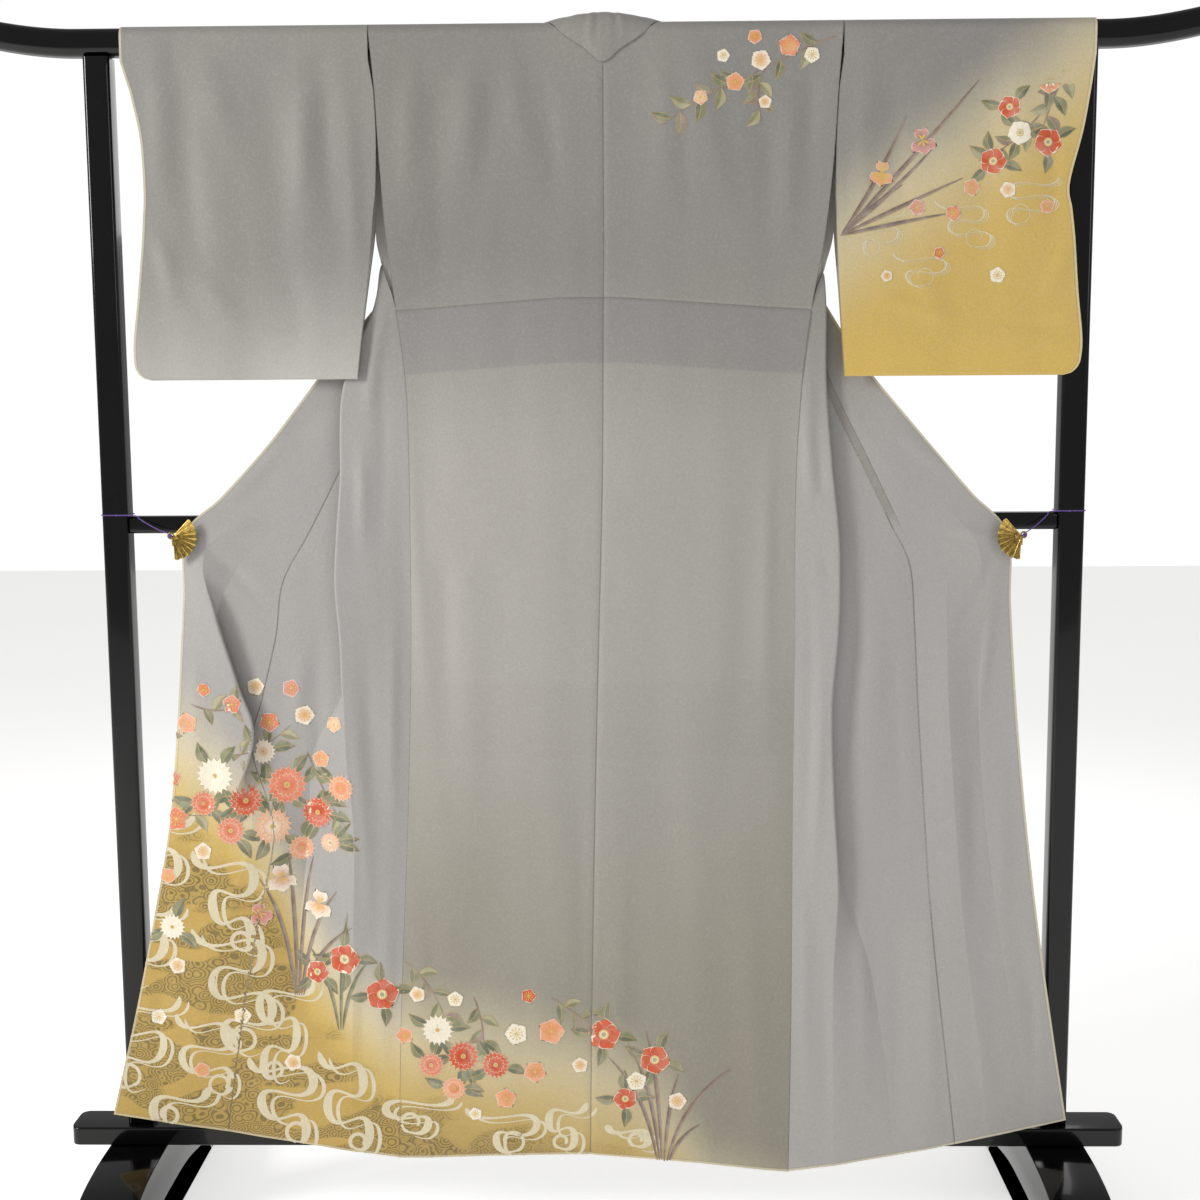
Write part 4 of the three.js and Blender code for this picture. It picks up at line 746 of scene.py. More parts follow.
    # painted shade: on the right overlap above 1.0 m, an 11 mm strip beside the seam where its edge turns back,
    # and a dark line along the turn
    if "facing" in dyes:
        strip = seam.step(0.0115, 0.0105) * z.step(1.0, 1.04) * x.step(0.30, 0.31)
        colour = wire.blend(strip * 0.5, colour, tint("7e756d"))
        colour = wire.blend((seam - 0.011).line(0.0012) * strip, colour, tint("5f5b55"))
    hem = edge.step(0.0034, 0.0026)
    colour = wire.blend(hem * 0.55, colour, PIPING)
    colour = wire.blend((edge - 0.0038).line(0.0011) * 0.4, colour, tint("7d776c"))
    colour = wire.blend(grain.step(0.40, 0.64) * 0.14, colour, tint("6f6c68"))
    colour = wire.blend(figure.step(0.48, 0.66) * 0.05, colour, tint("dedbd5"))
    rough = 0.46 + figure * 0.14 - cloud * 0.06
    first = bump(wire, grain, 0.00035, 0.6)
    second = bump(wire, figure + slub * 0.5, 0.0004, 0.30, first)
    plug(wire, shader, Base_Color=colour, Roughness=rough, Normal=second)
    return material


SILK_BACK = silk("silk_back", ("hem", "tuck"))
SILK_FRONT = silk("silk_front", ("hem",))
# 'facing' gives this silk the painted shade of the strip beside its seam
SILK_OVERLAP = silk("silk_overlap", ("hem", "facing"))
SILK_SLEEVE = silk("silk_sleeve", ("sleeve",))
SILK_PLAIN = silk("silk_plain")
SILK_LINING = silk("silk_lining", lining=True)


# ------------------------------------------------------------------ the cloth's pieces
def lay_out(grid):
    """Place of each point on the cloth itself: distance across from the middle of its row, and along."""
    across = np.linalg.norm(np.diff(grid, axis=1), axis=2)
    across = np.concatenate([np.zeros((len(grid), 1)), across.cumsum(1)], 1)
    middle = grid[:, grid.shape[1] // 2]
    along = np.concatenate([[0], np.linalg.norm(np.diff(middle, axis=0), axis=1).cumsum()])
    return np.stack([across - across[:, -1:] / 2, np.repeat(along[:, None], grid.shape[1], 1)], -1)


def from_edges(grid, finished="", sewn=""):
    """Distance along the cloth from the nearest finished and the nearest sewn edge, 1000 where there is none.

    The words name edges: inner and outer are the first and last column, top and end the first and last row.
    """
    flat = lay_out(grid)
    far = {
        "inner": flat[..., 0] - flat[:, :1, 0],
        "outer": flat[:, -1:, 0] - flat[..., 0],
        "top": flat[..., 1],
        "end": flat[-1:, :, 1] - flat[..., 1],
    }
    none = np.full(grid.shape[:2], 1000.0)
    least = lambda words: np.min([none] + [far[word] for word in words.split()], 0)
    return np.stack([least(finished), least(sewn)], -1)


def back_grid(side):
    """The back: straight from centre seam to side seam, a little fuller in its middle, then over the bar."""
    edge = EDGE[side]
    steps = [np.linspace(0, 0.12, 9), np.linspace(0, 10, 200), np.linspace(6.85, 7.25, 34)]
    place = np.unique(np.concatenate(steps))
    t = np.linspace(0, 1, 61)
    row = {name: smooth(BACK[name], place)[:, None] for name in BACK}
    inner = row["centre"] + side * SEAM_GAP / 2
    x = inner + (row[edge] - inner) * t
    full = 3 * np.sin(math.pi * t) * np.minimum(1, (10 - place[:, None]) / 4)
    y = row["centre_y"] + (row["side_y"] - row["centre_y"]) * t**1.6 - full
    hem = hem_at(x)
    z = np.where(place[:, None] < 1, hem + (BACK["z"][1] - hem) * place[:, None], row["z"] + 0 * x)
    lower = np.stack([x, y, z], -1)
    over = OVER[(OVER[:, 0] < 0.01)]
    over = np.concatenate([[(-18.15, v) for v in np.linspace(1606, 1638, 9)], over])
    half = np.where(over[:, 1] <= 1636, SEAM_GAP / 2, neck_half(over[:, 0], over[:, 1]))
    inner = NECK_CENTRE + side * half
    outer = BACK[edge][-1] + (SHOULDER[side] - BACK[edge][-1]) * np.minimum(1, (over[:, 1] - 1600) / 80)
    x = inner[:, None] + (outer - inner)[:, None] * t
    upper = np.stack([x, over[:, :1] + 0 * x, over[:, 1:] + 0 * x], -1)
    return np.concatenate([lower, upper])


def front_grid(side):
    """A front: over the bar, down its far side, then spread outwards with its pleat, to the hem."""
    edge = EDGE[side]
    over = OVER[(OVER[:, 0] > -0.01)]
    inner = NECK_CENTRE + side * neck_half(over[:, 0], over[:, 1])
    outer = BACK[edge][-1] + (SHOULDER[side] - BACK[edge][-1]) * np.minimum(1, (over[:, 1] - 1600) / 80)
    marks = np.stack([outer + (inner - outer) * t for t in (0, 0.11, 0.93, 1)], 1)
    top = np.stack([marks, over[:, :1] + 0 * marks, over[:, 1:] + 0 * marks], -1)
    rows = FRONT[side]
    side_x, side_y = back_at(rows["z"], side)
    side_x[-1], side_y[-1] = BACK[edge][0], BACK["side_y"][0]
    # where the pleat turns behind the back's edge it keeps clear of it
    behind = np.abs(rows["turn_x"]) - np.abs(side_x) < 8
    turn_y = rows["turn_y"] + 4.0 * (behind & (rows["z"] < 1330))
    middle = (rows["z"] + rows["seam_z"]) / 2
    levels = np.stack(
        [
            np.stack([side_x + rows["open_x"], side_y + rows["open_y"], rows["z"]], -1),
            np.stack([rows["fold_x"], rows["fold_y"], rows["z"]], -1),
            np.stack([rows["turn_x"], turn_y, middle], -1),
            np.stack([rows["seam_x"], rows["seam_y"], rows["seam_z"]], -1),
        ],
        1,
    )
    levels[-1, :, 2] = hem_at(levels[-1, :, 0])
    place = np.concatenate([np.linspace(0, 15, 230)[:-1], np.linspace(14.93, 15, 8)])
    points = smooth(levels, np.unique(place))
    z = points[:, 0, 2]
    joined = ease((JOIN_TOP - z) / 22)
    edge_x, edge_y = back_at(z, side)
    points[:, 0, 0] += (edge_x - side * 3 - points[:, 0, 0]) * joined
    points[:, 0, 1] += (edge_y + 0.5 - points[:, 0, 1]) * joined
    points = np.concatenate([top, points])
    return round_folds(points, np.full(len(points), FOLD_RADIUS), (34, 22, 30))


def overlap_grid(side):
    """An overlap panel: from the front's seam, round the pleat that the clip pulls in, to the front edge."""
    rows, front = OVERLAP[side], FRONT[side]
    seam = np.stack([front["seam_x"], front["seam_y"], front["seam_z"]], -1)[2:]
    level = lambda t: seam[:, 2] + (rows["edge_z"] - seam[:, 2]) * t
    levels = np.stack(
        [
            seam,
            np.stack([rows["tuck_x"], rows["tuck_y"], level(0.3)], -1),
            np.stack([rows["flap_x"], rows["flap_y"], level(0.6)], -1),
            np.stack([rows["edge_x"], rows["edge_y"], rows["edge_z"]], -1),
        ],
        1,
    )
    levels[-1, :, 2] = hem_at(levels[-1, :, 0])
    place = np.unique(np.concatenate([np.linspace(0, 13, 230), np.linspace(12.92, 13, 8)]))
    points = smooth(levels, place)
    wide = np.abs(points[:, 3, 0] - points[:, 0, 0])
    points[:, 0, 0] += side * (SEAM_GAP + 0.1)
    return round_folds(points, FOLD_RADIUS * np.minimum(1, wide / 90), (22, 18, 24))


def collar_grid():
    """The collar: a curve from its sewn edge through its middle to its free edge, carried clip to clip."""
    sewn = lambda rows: np.stack(
        [np.stack([rows[n + "_x"], rows[n + "_y"], rows[n + "_z"]], -1) for n in ("seam", "ridge", "free")], 1
    )
    order = np.arange(len(NECK["y"]))
    lean = np.where(order < 3, 1.09, 1.04)
    lift = np.where(order < 3, -2.6, 0.6)

    def neck(side):
        """The same three curves round one side of the neck."""
        sew_x = NECK_CENTRE + side * np.maximum(0, NECK["half"] - 1.4)
        sew = np.stack([sew_x, NECK["y"] * lean, NECK["z"] + lift], -1)
        rise = np.stack([NECK_CENTRE + side * NECK["ridge"], NECK["ridge_y"], NECK["ridge_z"]], -1)
        free = np.stack([NECK_CENTRE + side * NECK["free"], NECK["free_y"], NECK["free_z"]], -1)
        return np.stack([sew, rise, free], 1)

    levels = np.concatenate([sewn(COLLAR[-1]), neck(-1)[::-1], neck(1)[1:], sewn(COLLAR[1])[::-1]])
    levels = smooth(levels, np.linspace(0, len(levels) - 1, 520))
    seam, ridge, free = levels[:, None, 0], levels[:, None, 1], levels[:, None, 2]
    t = np.linspace(0, 1, 15)[None, :, None]
    bulge = 2 * ridge - (seam + free) / 2
    grid = seam * (1 - t) ** 2 + bulge * 2 * t * (1 - t) + free * t**2
    # small gathers where the collar turns round the neck, deepest in the middle of its width
    run = lay_out(grid)[..., 1]
    near = ease((1.15 - np.abs(grid[..., :1, 0] - NECK_CENTRE) / 75)) * (grid[..., 2].mean(1) > 1640)[:, None]
    pleat = np.sin(run / 3.4) + 0.6 * np.sin(run / 2.1 + 1.3)
    width = np.sin(math.pi * np.clip(t[..., 0] * 1.02, 0, 1))
    return grid + normals_of(grid) * (0.42 * near * pleat * width)[..., None]


def sleeve_grid(side):
    """A sleeve: a loop up its near layer, over the bar and down its far layer, with rounded lower corners."""
    rows = SLEEVE[side]
    place = np.linspace(len(rows["z"]) - 1, 0, 120)
    place = np.unique(np.concatenate([place, np.linspace(6.5, 7, 14)]))[::-1]
    row = {name: smooth(rows[name], place)[:, None] for name in rows}
    t = np.linspace(0, 1, 57)
    low = rows["z"][-1] - 2.6
    inner = row["inner"] + side * (SEAM_GAP + 0.8)
    deep = np.clip((low + CORNER - row["z"]) / CORNER, 0, 1)
    inset = side * CORNER * (1 - np.sqrt(1 - deep**2))
    x = inner + (row["outer"] - inset - inner) * t
    near = np.stack([x, row["near"] + (row["near_cuff"] - row["near"]) * t, row["z"] + 0 * x], -1)
    x = inner + (row["far_outer"] - inset - inner) * t
    far = np.stack([x, row["far"] + (row["far_cuff"] - row["far"]) * t, row["z"] + 0 * x], -1)
    first, last = SHOULDER[side] + side * (SEAM_GAP + 0.3), {-1: -626, 1: 674}[side]
    x = first + (last - first) * t + 0 * OVER[:, :1]
    over = np.stack([x, OVER[:, :1] + 0 * x, OVER[:, 1:] + 0 * x], -1)
    x = inner[0] + (rows["outer"][-1] - side * CORNER - inner[0]) * t
    y = (near[0, :, 1] + far[0, :, 1]) / 2
    bottom = np.stack([x, y, np.full_like(x, low)], -1)[None]
    return np.concatenate([near, over, far[::-1], bottom]), near, far


def cuff_seam(near, far, side):
    """The strip that joins both layers at the outer edge below the cuff opening."""
    keep = near[:, -1, 2] < CUFF_END
    a, b = near[keep, -1], far[keep, -1]
    t = np.linspace(0.04, 0.96, 7)[None, :, None]
    grid = a[:, None] * (1 - t) + b[:, None] * t
    grid[..., 0] -= side * 1.0
    return grid


CORNER = 20.0
CUFF_END = 1440.0
JOIN_TOP = 1311
OVER = over_bar(11)


def draw_in(grid, column, toward, reach=3.2, depth=1.1):
    """The cloth beside a seam dips in towards it, as sewn cloth does."""
    run = np.linalg.norm(grid - grid[:, column : column + 1 or None], axis=2)
    moved = grid.copy()
    moved[..., 1] += toward * depth * np.exp(-((run / reach) ** 2)) * ease((1640 - grid[..., 2]) / 30)
    return moved


def sew_tuck(grid):
    """The tuck sewn across the back: a narrow step in along its line, the cloth below it a little proud."""
    line = np.interp(grid[..., 0], [a for a, _ in TUCK], [z for _, z in TUCK])
    below = line - grid[..., 2]
    moved = grid.copy()
    moved[..., 1] += 0.9 * np.exp(-((below / 2.2) ** 2)) - 0.5 * ease(below / 4) * ease((92 - below) / 6)
    return moved


surfaces = {}
cloths = {}
for side in (-1, 1):
    name = EDGE[side]
    back = back_grid(side)
    back = draw_in(sew_tuck(hang(back)), 0, 1)
    front, _ = front_grid(side)
    front = hang(front)
    overlap, _ = overlap_grid(side)
    overlap = hang(overlap)
    whole_sleeve, near, far = sleeve_grid(side)
    whole_sleeve, near, far = hang(whole_sleeve), hang(near), hang(far)
    back_part = shell(back, CLOTH, lay_out(back), from_edges(back, "top", "inner outer"), (0, -1, 0), -60)
    front_part = shell(front, CLOTH, lay_out(front), from_edges(front, "end", "outer"), (0, -1, 0), -30)
    body = join(back_part, (*front_part[:2], np.where(front_part[2] == 0, 2, 1), *front_part[3:]))
    cloths["body_" + name] = cloth_object("cloth_body_" + name, body, [SILK_BACK, SILK_LINING, SILK_FRONT])
    part = shell(overlap, CLOTH, lay_out(overlap), from_edges(overlap, "outer end", "inner"), (0, -1, 0), -30)
    cloths["overlap_" + name] = cloth_object("cloth_overlap_" + name, part, [SILK_OVERLAP, SILK_LINING])
    edges = from_edges(whole_sleeve, "outer", "inner")
    part = shell(whole_sleeve, CLOTH, lay_out(whole_sleeve), edges, (0, -1, 0), 40, True)
    strip = cuff_seam(near, far, side)
    strip = shell(strip, CLOTH, lay_out(strip), from_edges(strip), (side, 0, 0), 5)
    outer = SILK_SLEEVE if side > 0 else SILK_PLAIN
    cloths["sleeve_" + name] = cloth_object("cloth_sleeve_" + name, join(part, strip), [outer, SILK_LINING])
    surfaces["body_" + name] = [back, front[len(front) // 4 :]]
    surfaces["overlap_" + name] = [overlap]
    surfaces["sleeve_" + name] = [whole_sleeve[: len(near) + 20]]
collar = collar_grid()
part = shell(collar, 1.6, lay_out(collar), from_edges(collar, "outer", "inner"), (0, 0, 1), 260)
cloths["collar"] = cloth_object("cloth_collar", part, [SILK_PLAIN, SILK_PLAIN])
for name, piece in cloths.items():
    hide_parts(name)


# ------------------------------------------------------------------ the dyed picture
# Motifs are thin skins laid on the printed face: each is worked out flat, in X and Z, then set just proud of
# the foremost cloth. The motifs are common seasonal ones, laid out freely along the dyed grounds.
PRINT_SPAN = (-700, 700, 80, 1700)
dice = np.random.default_rng(7)


def foremost():
    """Depth of the foremost printed face over every square millimetre, and which piece it belongs to.

    Every surface is read on a finer grid than a millimetre. A cell keeps its least depth first, then the
    mean of the samples that lie within a little of it.
    """
    low_x, high_x, low_z, high_z = PRINT_SPAN
    wide, tall = high_x - low_x, high_z - low_z
    least = np.full(wide * tall, 1e3)
    owner = np.full(wide * tall, -1)
    total, count = np.zeros(wide * tall), np.zeros(wide * tall)
    samples = []
    for number, name in enumerate(surfaces):
        for grid in surfaces[name]:
            rows, columns = grid.shape[:2]
            down = np.abs(np.diff(grid[:, columns // 2, 2])).sum()
            spread_rows = np.linspace(0, rows - 1, int(down * 1.25))
            across = np.abs(np.diff(grid[..., 0], axis=1)).sum(1).max()
            spread_columns = np.linspace(0, columns - 1, max(columns, int(across * 2.2)))
            i = np.clip(spread_rows.astype(int), 0, rows - 2)
            s = (spread_rows - i)[:, None, None]
            fine = grid[i] * (1 - s) + grid[i + 1] * s
            j = np.clip(spread_columns.astype(int), 0, columns - 2)
            t = (spread_columns - j)[None, :, None]
            fine = fine[:, j] * (1 - t) + fine[:, j + 1] * t
            fine = fine.reshape(-1, 3)
            cell = np.floor(fine[:, 0] - low_x).astype(int) * tall + np.floor(fine[:, 2] - low_z).astype(int)
            samples.append((number, cell, fine[:, 1] - CLOTH / 2))
    for number, cell, depth in samples:
        np.minimum.at(least, cell, depth)
    for number, cell, depth in samples:
        near = depth < least[cell] + 1.2
        total += np.bincount(cell[near], depth[near], wide * tall)
        count += np.bincount(cell[near], minlength=wide * tall)
        owner[cell[near & (depth < least[cell] + 0.3)]] = number
    mean = np.where(count > 0, total / np.maximum(count, 1), np.nan).reshape(wide, tall)
    owner = owner.reshape(wide, tall)
    for shift, axis in ((1, 0), (-1, 0), (1, 1), (-1, 1)):
        hole = np.isnan(mean)
        mean = np.where(hole, np.roll(mean, shift, axis), mean)
        owner = np.where(hole, np.roll(owner, shift, axis), owner)
    return mean, owner


picture = []


def lay(points, faces, colours, lift):
    """Adds one flat skin to the picture: points in X and Z, faces, a colour for each point, and its lift."""
    colours = np.broadcast_to(np.asarray(colours, float)[..., :3], (len(points), 3))
    picture.append((points, faces, colours, np.full(len(points), lift)))


def patch(rows, columns):
    """Places along and across a patch, and its quads."""
    u, v = np.meshgrid(np.linspace(0, 1, rows), np.linspace(-1, 1, columns), indexing="ij")
    return u, v, grid_faces(rows, columns)


def turned(points, angle, place):
    """Flat points turned by an angle about nought and moved to a place."""
    c, s = math.cos(angle), math.sin(angle)
    return points @ np.array([[c, s], [-s, c]]) + place


def petal(place, angle, near, far, width, inner, outer, lift, notch=0.0, blunt=0.75, grow=0.0, fine=(6, 5)):
    """A petal: its half width swells as a sine of its length raised to a power; its tip may be notched."""
    u, v, faces = patch(*fine)
    reach = near + (far + grow - near) * u * (1 - notch * np.exp(-((v / 0.34) ** 2)) * u**4)
    half = (width + grow) * np.sin(math.pi * np.clip(u, 0.02, 0.985) ** 1.35) ** blunt
    points = np.stack([reach - 0.10 * far * v**2 * u, half * v], -1).reshape(-1, 2)
    shade = np.clip(u * 1.15, 0, 1).reshape(-1, 1)
    colours = np.array(inner[:3]) * (1 - shade) + np.array(outer[:3]) * shade
    lay(turned(points, angle, place), faces, colours, lift)


def disc(place, radius, colour, lift, squash=1.0):
    """A round spot."""
    u, v, faces = patch(4, 15)
    turn = math.pi * v
    lay(
        np.stack([u * radius * np.cos(turn), u * radius * squash * np.sin(turn)], -1).reshape(-1, 2) + place,
        faces, colour, lift,
    )


def ribbon(path, width, colour, lift, taper=(0.1, 0.1), middle=None):
    """A band along a flat path, its half width rising from each end over a share of its length."""
    step = np.gradient(path, axis=0)
    step /= np.maximum(np.linalg.norm(step, axis=1, keepdims=True), 1e-9)
    aside = np.stack([-step[:, 1], step[:, 0]], 1)
    s = np.linspace(0, 1, len(path))
    half = width / 2 * np.sqrt(np.clip(s / taper[0], 0.02, 1)) * np.sqrt(np.clip((1 - s) / taper[1], 0.02, 1))
    v = np.array([-1, -0.34, 0.34, 1]) if width > 4 else np.array([-1.0, 1.0])
    points = path[:, None] + aside[:, None] * (half[:, None] * v)[..., None]
    shades = np.broadcast_to(np.array(colour[:3]), (len(path), len(v), 3)).copy()
    if middle is not None and len(v) == 4:
        shades[:, 2:] = middle[:3]
    lay(points.reshape(-1, 2), grid_faces(len(path), len(v)), shades.reshape(-1, 3), lift)


def arc(start, bend, end, count=26):
    """A path from start to end that leans towards bend."""
    t = np.linspace(0, 1, count)[:, None]
    return np.array(start) * (1 - t) ** 2 + np.array(bend) * 2 * t * (1 - t) + np.array(end) * t**2


RED, ORANGE, CORAL = tint("b9381f"), tint("cf5a2c"), tint("de7f5c")
PEACH, PINK, ROSE = tint("e6a277"), tint("d58f86"), tint("c0625a")
IVORY, GOLD_THREAD, AMBER = tint("eee6d2"), tint("b89556"), tint("d9b45a")
LEAF, LEAF_DARK, LEAF_PALE = tint("7b8163"), tint("5f6853"), tint("a3a482")
REED, REED_DARK, BRANCH = tint("8c7a72"), tint("6d5f5c"), tint("8b7363")
STREAM = tint("d3c8a9")


def leaf(place, angle, length, first=LEAF, second=LEAF_DARK):
    """A pointed leaf in two tones either side of its rib, with a fine light edge."""
    u, v, faces = patch(8, 6)
    length = 1.3 * length
    for grow, lift, tones in ((0.7, 0.30, (GOLD_THREAD, GOLD_THREAD)), (0.0, 0.40, (first, second))):
        half = (length * 0.23 + grow) * np.sin(math.pi * np.clip(u, 0.01, 0.99) ** 0.85) ** 1.1
        bend = 0.10 * length * np.sin(math.pi * u)
        points = np.stack([u * (length + 2 * grow) - grow, half * v + bend], -1).reshape(-1, 2)
        tone = np.where(v.reshape(-1, 1) > 0, np.array(tones[0][:3]), np.array(tones[1][:3]))
        lay(turned(points, angle, place), faces, tone, lift)
    rib = arc((0.5, 0), (length * 0.5, 0.19 * length), (length * 0.92, 0), 8)
    ribbon(turned(rib, angle, place), 0.9, GOLD_THREAD, 0.48)


def blossom(place, size, angle, inner, outer, lift=0.5, petals=5):
    """A plum or cherry blossom: round notched petals with a fine rim, threads and a yellow heart."""
    for n in range(petals):
        turn = angle + n * 2 * math.pi / petals
        petal(place, turn, 0, size, size * 0.44, IVORY, IVORY, lift + 0.02 * n, 0.10, 0.62, 0.7)
        petal(place, turn, 0, size, size * 0.44, inner, outer, lift + 0.16 + 0.03 * n, 0.10, 0.62)
    for n in range(petals * 2):
        turn = angle + (n + 0.5) * math.pi / petals
        way = np.array([math.cos(turn), math.sin(turn)])
        ribbon(np.array(place) + way * np.linspace(0.1, 0.48, 4)[:, None] * size, 0.8, AMBER, lift + 0.36)
        disc(np.array(place) + way * size * 0.5, size * 0.05 + 0.3, AMBER, lift + 0.38)
    disc(place, size * 0.13, AMBER, lift + 0.42)


def camellia(place, size, angle, inner=RED, outer=ORANGE, lift=0.5):
    """A camellia: five broad petals that overlap round a brush of yellow threads."""
    for n in range(5):
        turn = angle + n * 2 * math.pi / 5
        petal(place, turn, 0, size, size * 0.56, IVORY, IVORY, lift + 0.09 * n, 0.05, 0.55, 0.7)
        petal(place, turn, 0, size, size * 0.56, inner, outer, lift + 0.045 + 0.09 * n, 0.05, 0.55)
    disc(place, size * 0.30, IVORY, lift + 0.5)
    for n in range(12):
        turn = angle + n * math.pi / 6
        way = np.array([math.cos(turn), math.sin(turn)])
        disc(np.array(place) + way * size * 0.25, size * 0.055 + 0.2, AMBER, lift + 0.54)
    disc(place, size * 0.15, LEAF_PALE, lift + 0.56)


def chrysanthemum(place, size, angle, inner, outer, lift=0.5, petals=18):
    """A chrysanthemum: two rounds of slim petals, each with a light rim, about a golden heart."""
    for tier, reach in enumerate((1.0, 0.66)):
        for n in range(petals - 4 * tier):
            turn = angle + (n + 0.5 * tier) * 2 * math.pi / (petals - 4 * tier)
            slim = reach * size * 0.175
            high = lift + 0.1 * tier
            petal(place, turn, size * 0.08, size * reach, slim, IVORY, IVORY, high, 0, 0.62, 0.45, (5, 4))
            petal(place, turn, size * 0.08, size * reach, slim, inner, outer, high + 0.05, 0, 0.62, 0, (5, 4))
    disc(place, size * 0.15, AMBER, lift + 0.2)
    disc(place, size * 0.08, GOLD_THREAD, lift + 0.24)


def iris(place, size, angle, inner, outer, lift=0.5):
    """An iris from the side: three falling petals and two that stand, with pale throats."""
    falling = ((-2.5, 1.0, 0.34), (-0.65, 1.0, 0.34), (-1.57, 0.95, 0.36))
    standing = ((1.2, 0.85, 0.26), (1.95, 0.85, 0.26))
    for turn, long, wide in falling + standing:
        petal(place, angle + turn, 0, size * long, size * wide, IVORY, IVORY, lift, 0.06, 0.8, 0.6)
        petal(place, angle + turn, 0, size * long, size * wide, inner, outer, lift + 0.06, 0.06, 0.8)
        petal(place, angle + turn, 0, size * long * 0.5, size * 0.07, AMBER, AMBER, lift + 0.1, 0, 0.8)


def reeds(foot, tips, tone=REED, second=REED_DARK):
    """Long blades from one foot, each leaning to its tip and tapering to a point."""
    for n, (x, z) in enumerate(tips):
        foot_n = (foot[0] + 3 * n - len(tips), foot[1])
        lean = (foot_n[0] + (x - foot_n[0]) * 0.22, foot_n[1] + (z - foot_n[1]) * 0.68)
        path = arc(foot_n, lean, (x, z), 34)
        ribbon(path, 8.4, GOLD_THREAD, 0.34, (0.55, 0.9))
        ribbon(path, 7.0, tone, 0.42, (0.55, 0.9), second)


def blades(foot, tips):
    """Straighter blades that fan out from one foot."""
    for n, (x, z) in enumerate(tips):
        bend = (foot[0] + (x - foot[0]) * 0.55, foot[1] + (z - foot[1]) * (0.42 + 0.05 * n))
        path = arc(foot, bend, (x, z), 30)
        ribbon(path, 8.0, GOLD_THREAD, 0.34, (0.4, 0.9))
        ribbon(path, 6.6, REED, 0.42, (0.4, 0.9), REED_DARK)


def spray(start, bend, end, leaves=4, turn=0.9):
    """A branch with leaves along it, one side then the other."""
    path = arc(start, bend, end, 30)
    ribbon(path, 2.2, BRANCH, 0.36, (0.05, 0.8))
    for n in range(leaves):
        at = int(5 + n * 24 / max(leaves, 1))
        way = path[min(at + 1, 29)] - path[at - 1]
        heading = math.atan2(way[1], way[0]) + (turn if n % 2 else -turn)
        tones = ((LEAF, LEAF_DARK), (LEAF_PALE, LEAF), (REED, LEAF))[n % 3]
        leaf(path[at], heading, 19 + 5 * dice.random(), *tones)


def stream(x, z, swings, reach, drop, side=1, width=7.0, lines=2):
    """A winding stream: it swings from side to side as a sine while it falls, closing to a small curl at its
    foot, and is broad at its turns and slim between them. Beside it run slimmer lines."""
    turn = np.linspace(-0.5, swings, 46 * swings) * math.pi
    s = np.linspace(0, 1, len(turn))
    swing = reach * (1 - 0.42 * s) * (0.88 + 0.16 * np.sin(0.55 * turn + x)) * np.sin(turn)
    fall = -drop * (turn / math.pi) + 0.30 * drop * np.sin(2 * turn)
    path = np.stack([x + side * (swing + 0.35 * reach * s), z + fall], 1)
    curl = np.linspace(0, 1, 40)
    heading = path[-1] - path[-2]
    start = math.atan2(heading[1], heading[0])
    bend = side * (1 if swings % 2 else -1) * (-5.4) * curl**0.8
    step = reach * 0.052 * (1 - 0.75 * curl)
    tail = path[-1] + np.stack([np.cos(start + bend) * step, np.sin(start + bend) * step], 1).cumsum(0)
    for n in range(lines):
        gap = n * width * 1.25
        body = np.concatenate([path, tail if n == 0 else tail[:2]]) + (gap * 0.9, -gap * 0.5)
        broad = np.full(len(body), 0.42)
        broad[: len(turn)] = 0.28 + 0.72 * np.abs(np.sin(turn)) ** 3
        swelling(body, width * broad * (1 if n == 0 else 0.45), STREAM, 0.20 + 0.02 * n)


def swelling(path, widths, colour, lift):
    """A band along a path with its own width at every point, rounded off at both ends."""
    step = np.gradient(path, axis=0)
    step /= np.maximum(np.linalg.norm(step, axis=1, keepdims=True), 1e-9)
    aside = np.stack([-step[:, 1], step[:, 0]], 1)
    s = np.linspace(0, 1, len(path))
    half = widths / 2 * np.sqrt(np.clip(s / 0.03, 0.02, 1)) * np.sqrt(np.clip((1 - s) / 0.03, 0.02, 1))
    points = path[:, None] + aside[:, None] * (half[:, None] * np.array([-1.0, 0.0, 1.0]))[..., None]
    lay(points.reshape(-1, 2), grid_faces(len(path), 3), colour, lift)


def leaves_round(x, z, size, ways, length):
    """Leaves that stand out from behind a flower, one at each of the given headings."""
    for way in ways:
        leaf((x + size * 0.7 * math.cos(way), z + size * 0.7 * math.sin(way)), way, length)


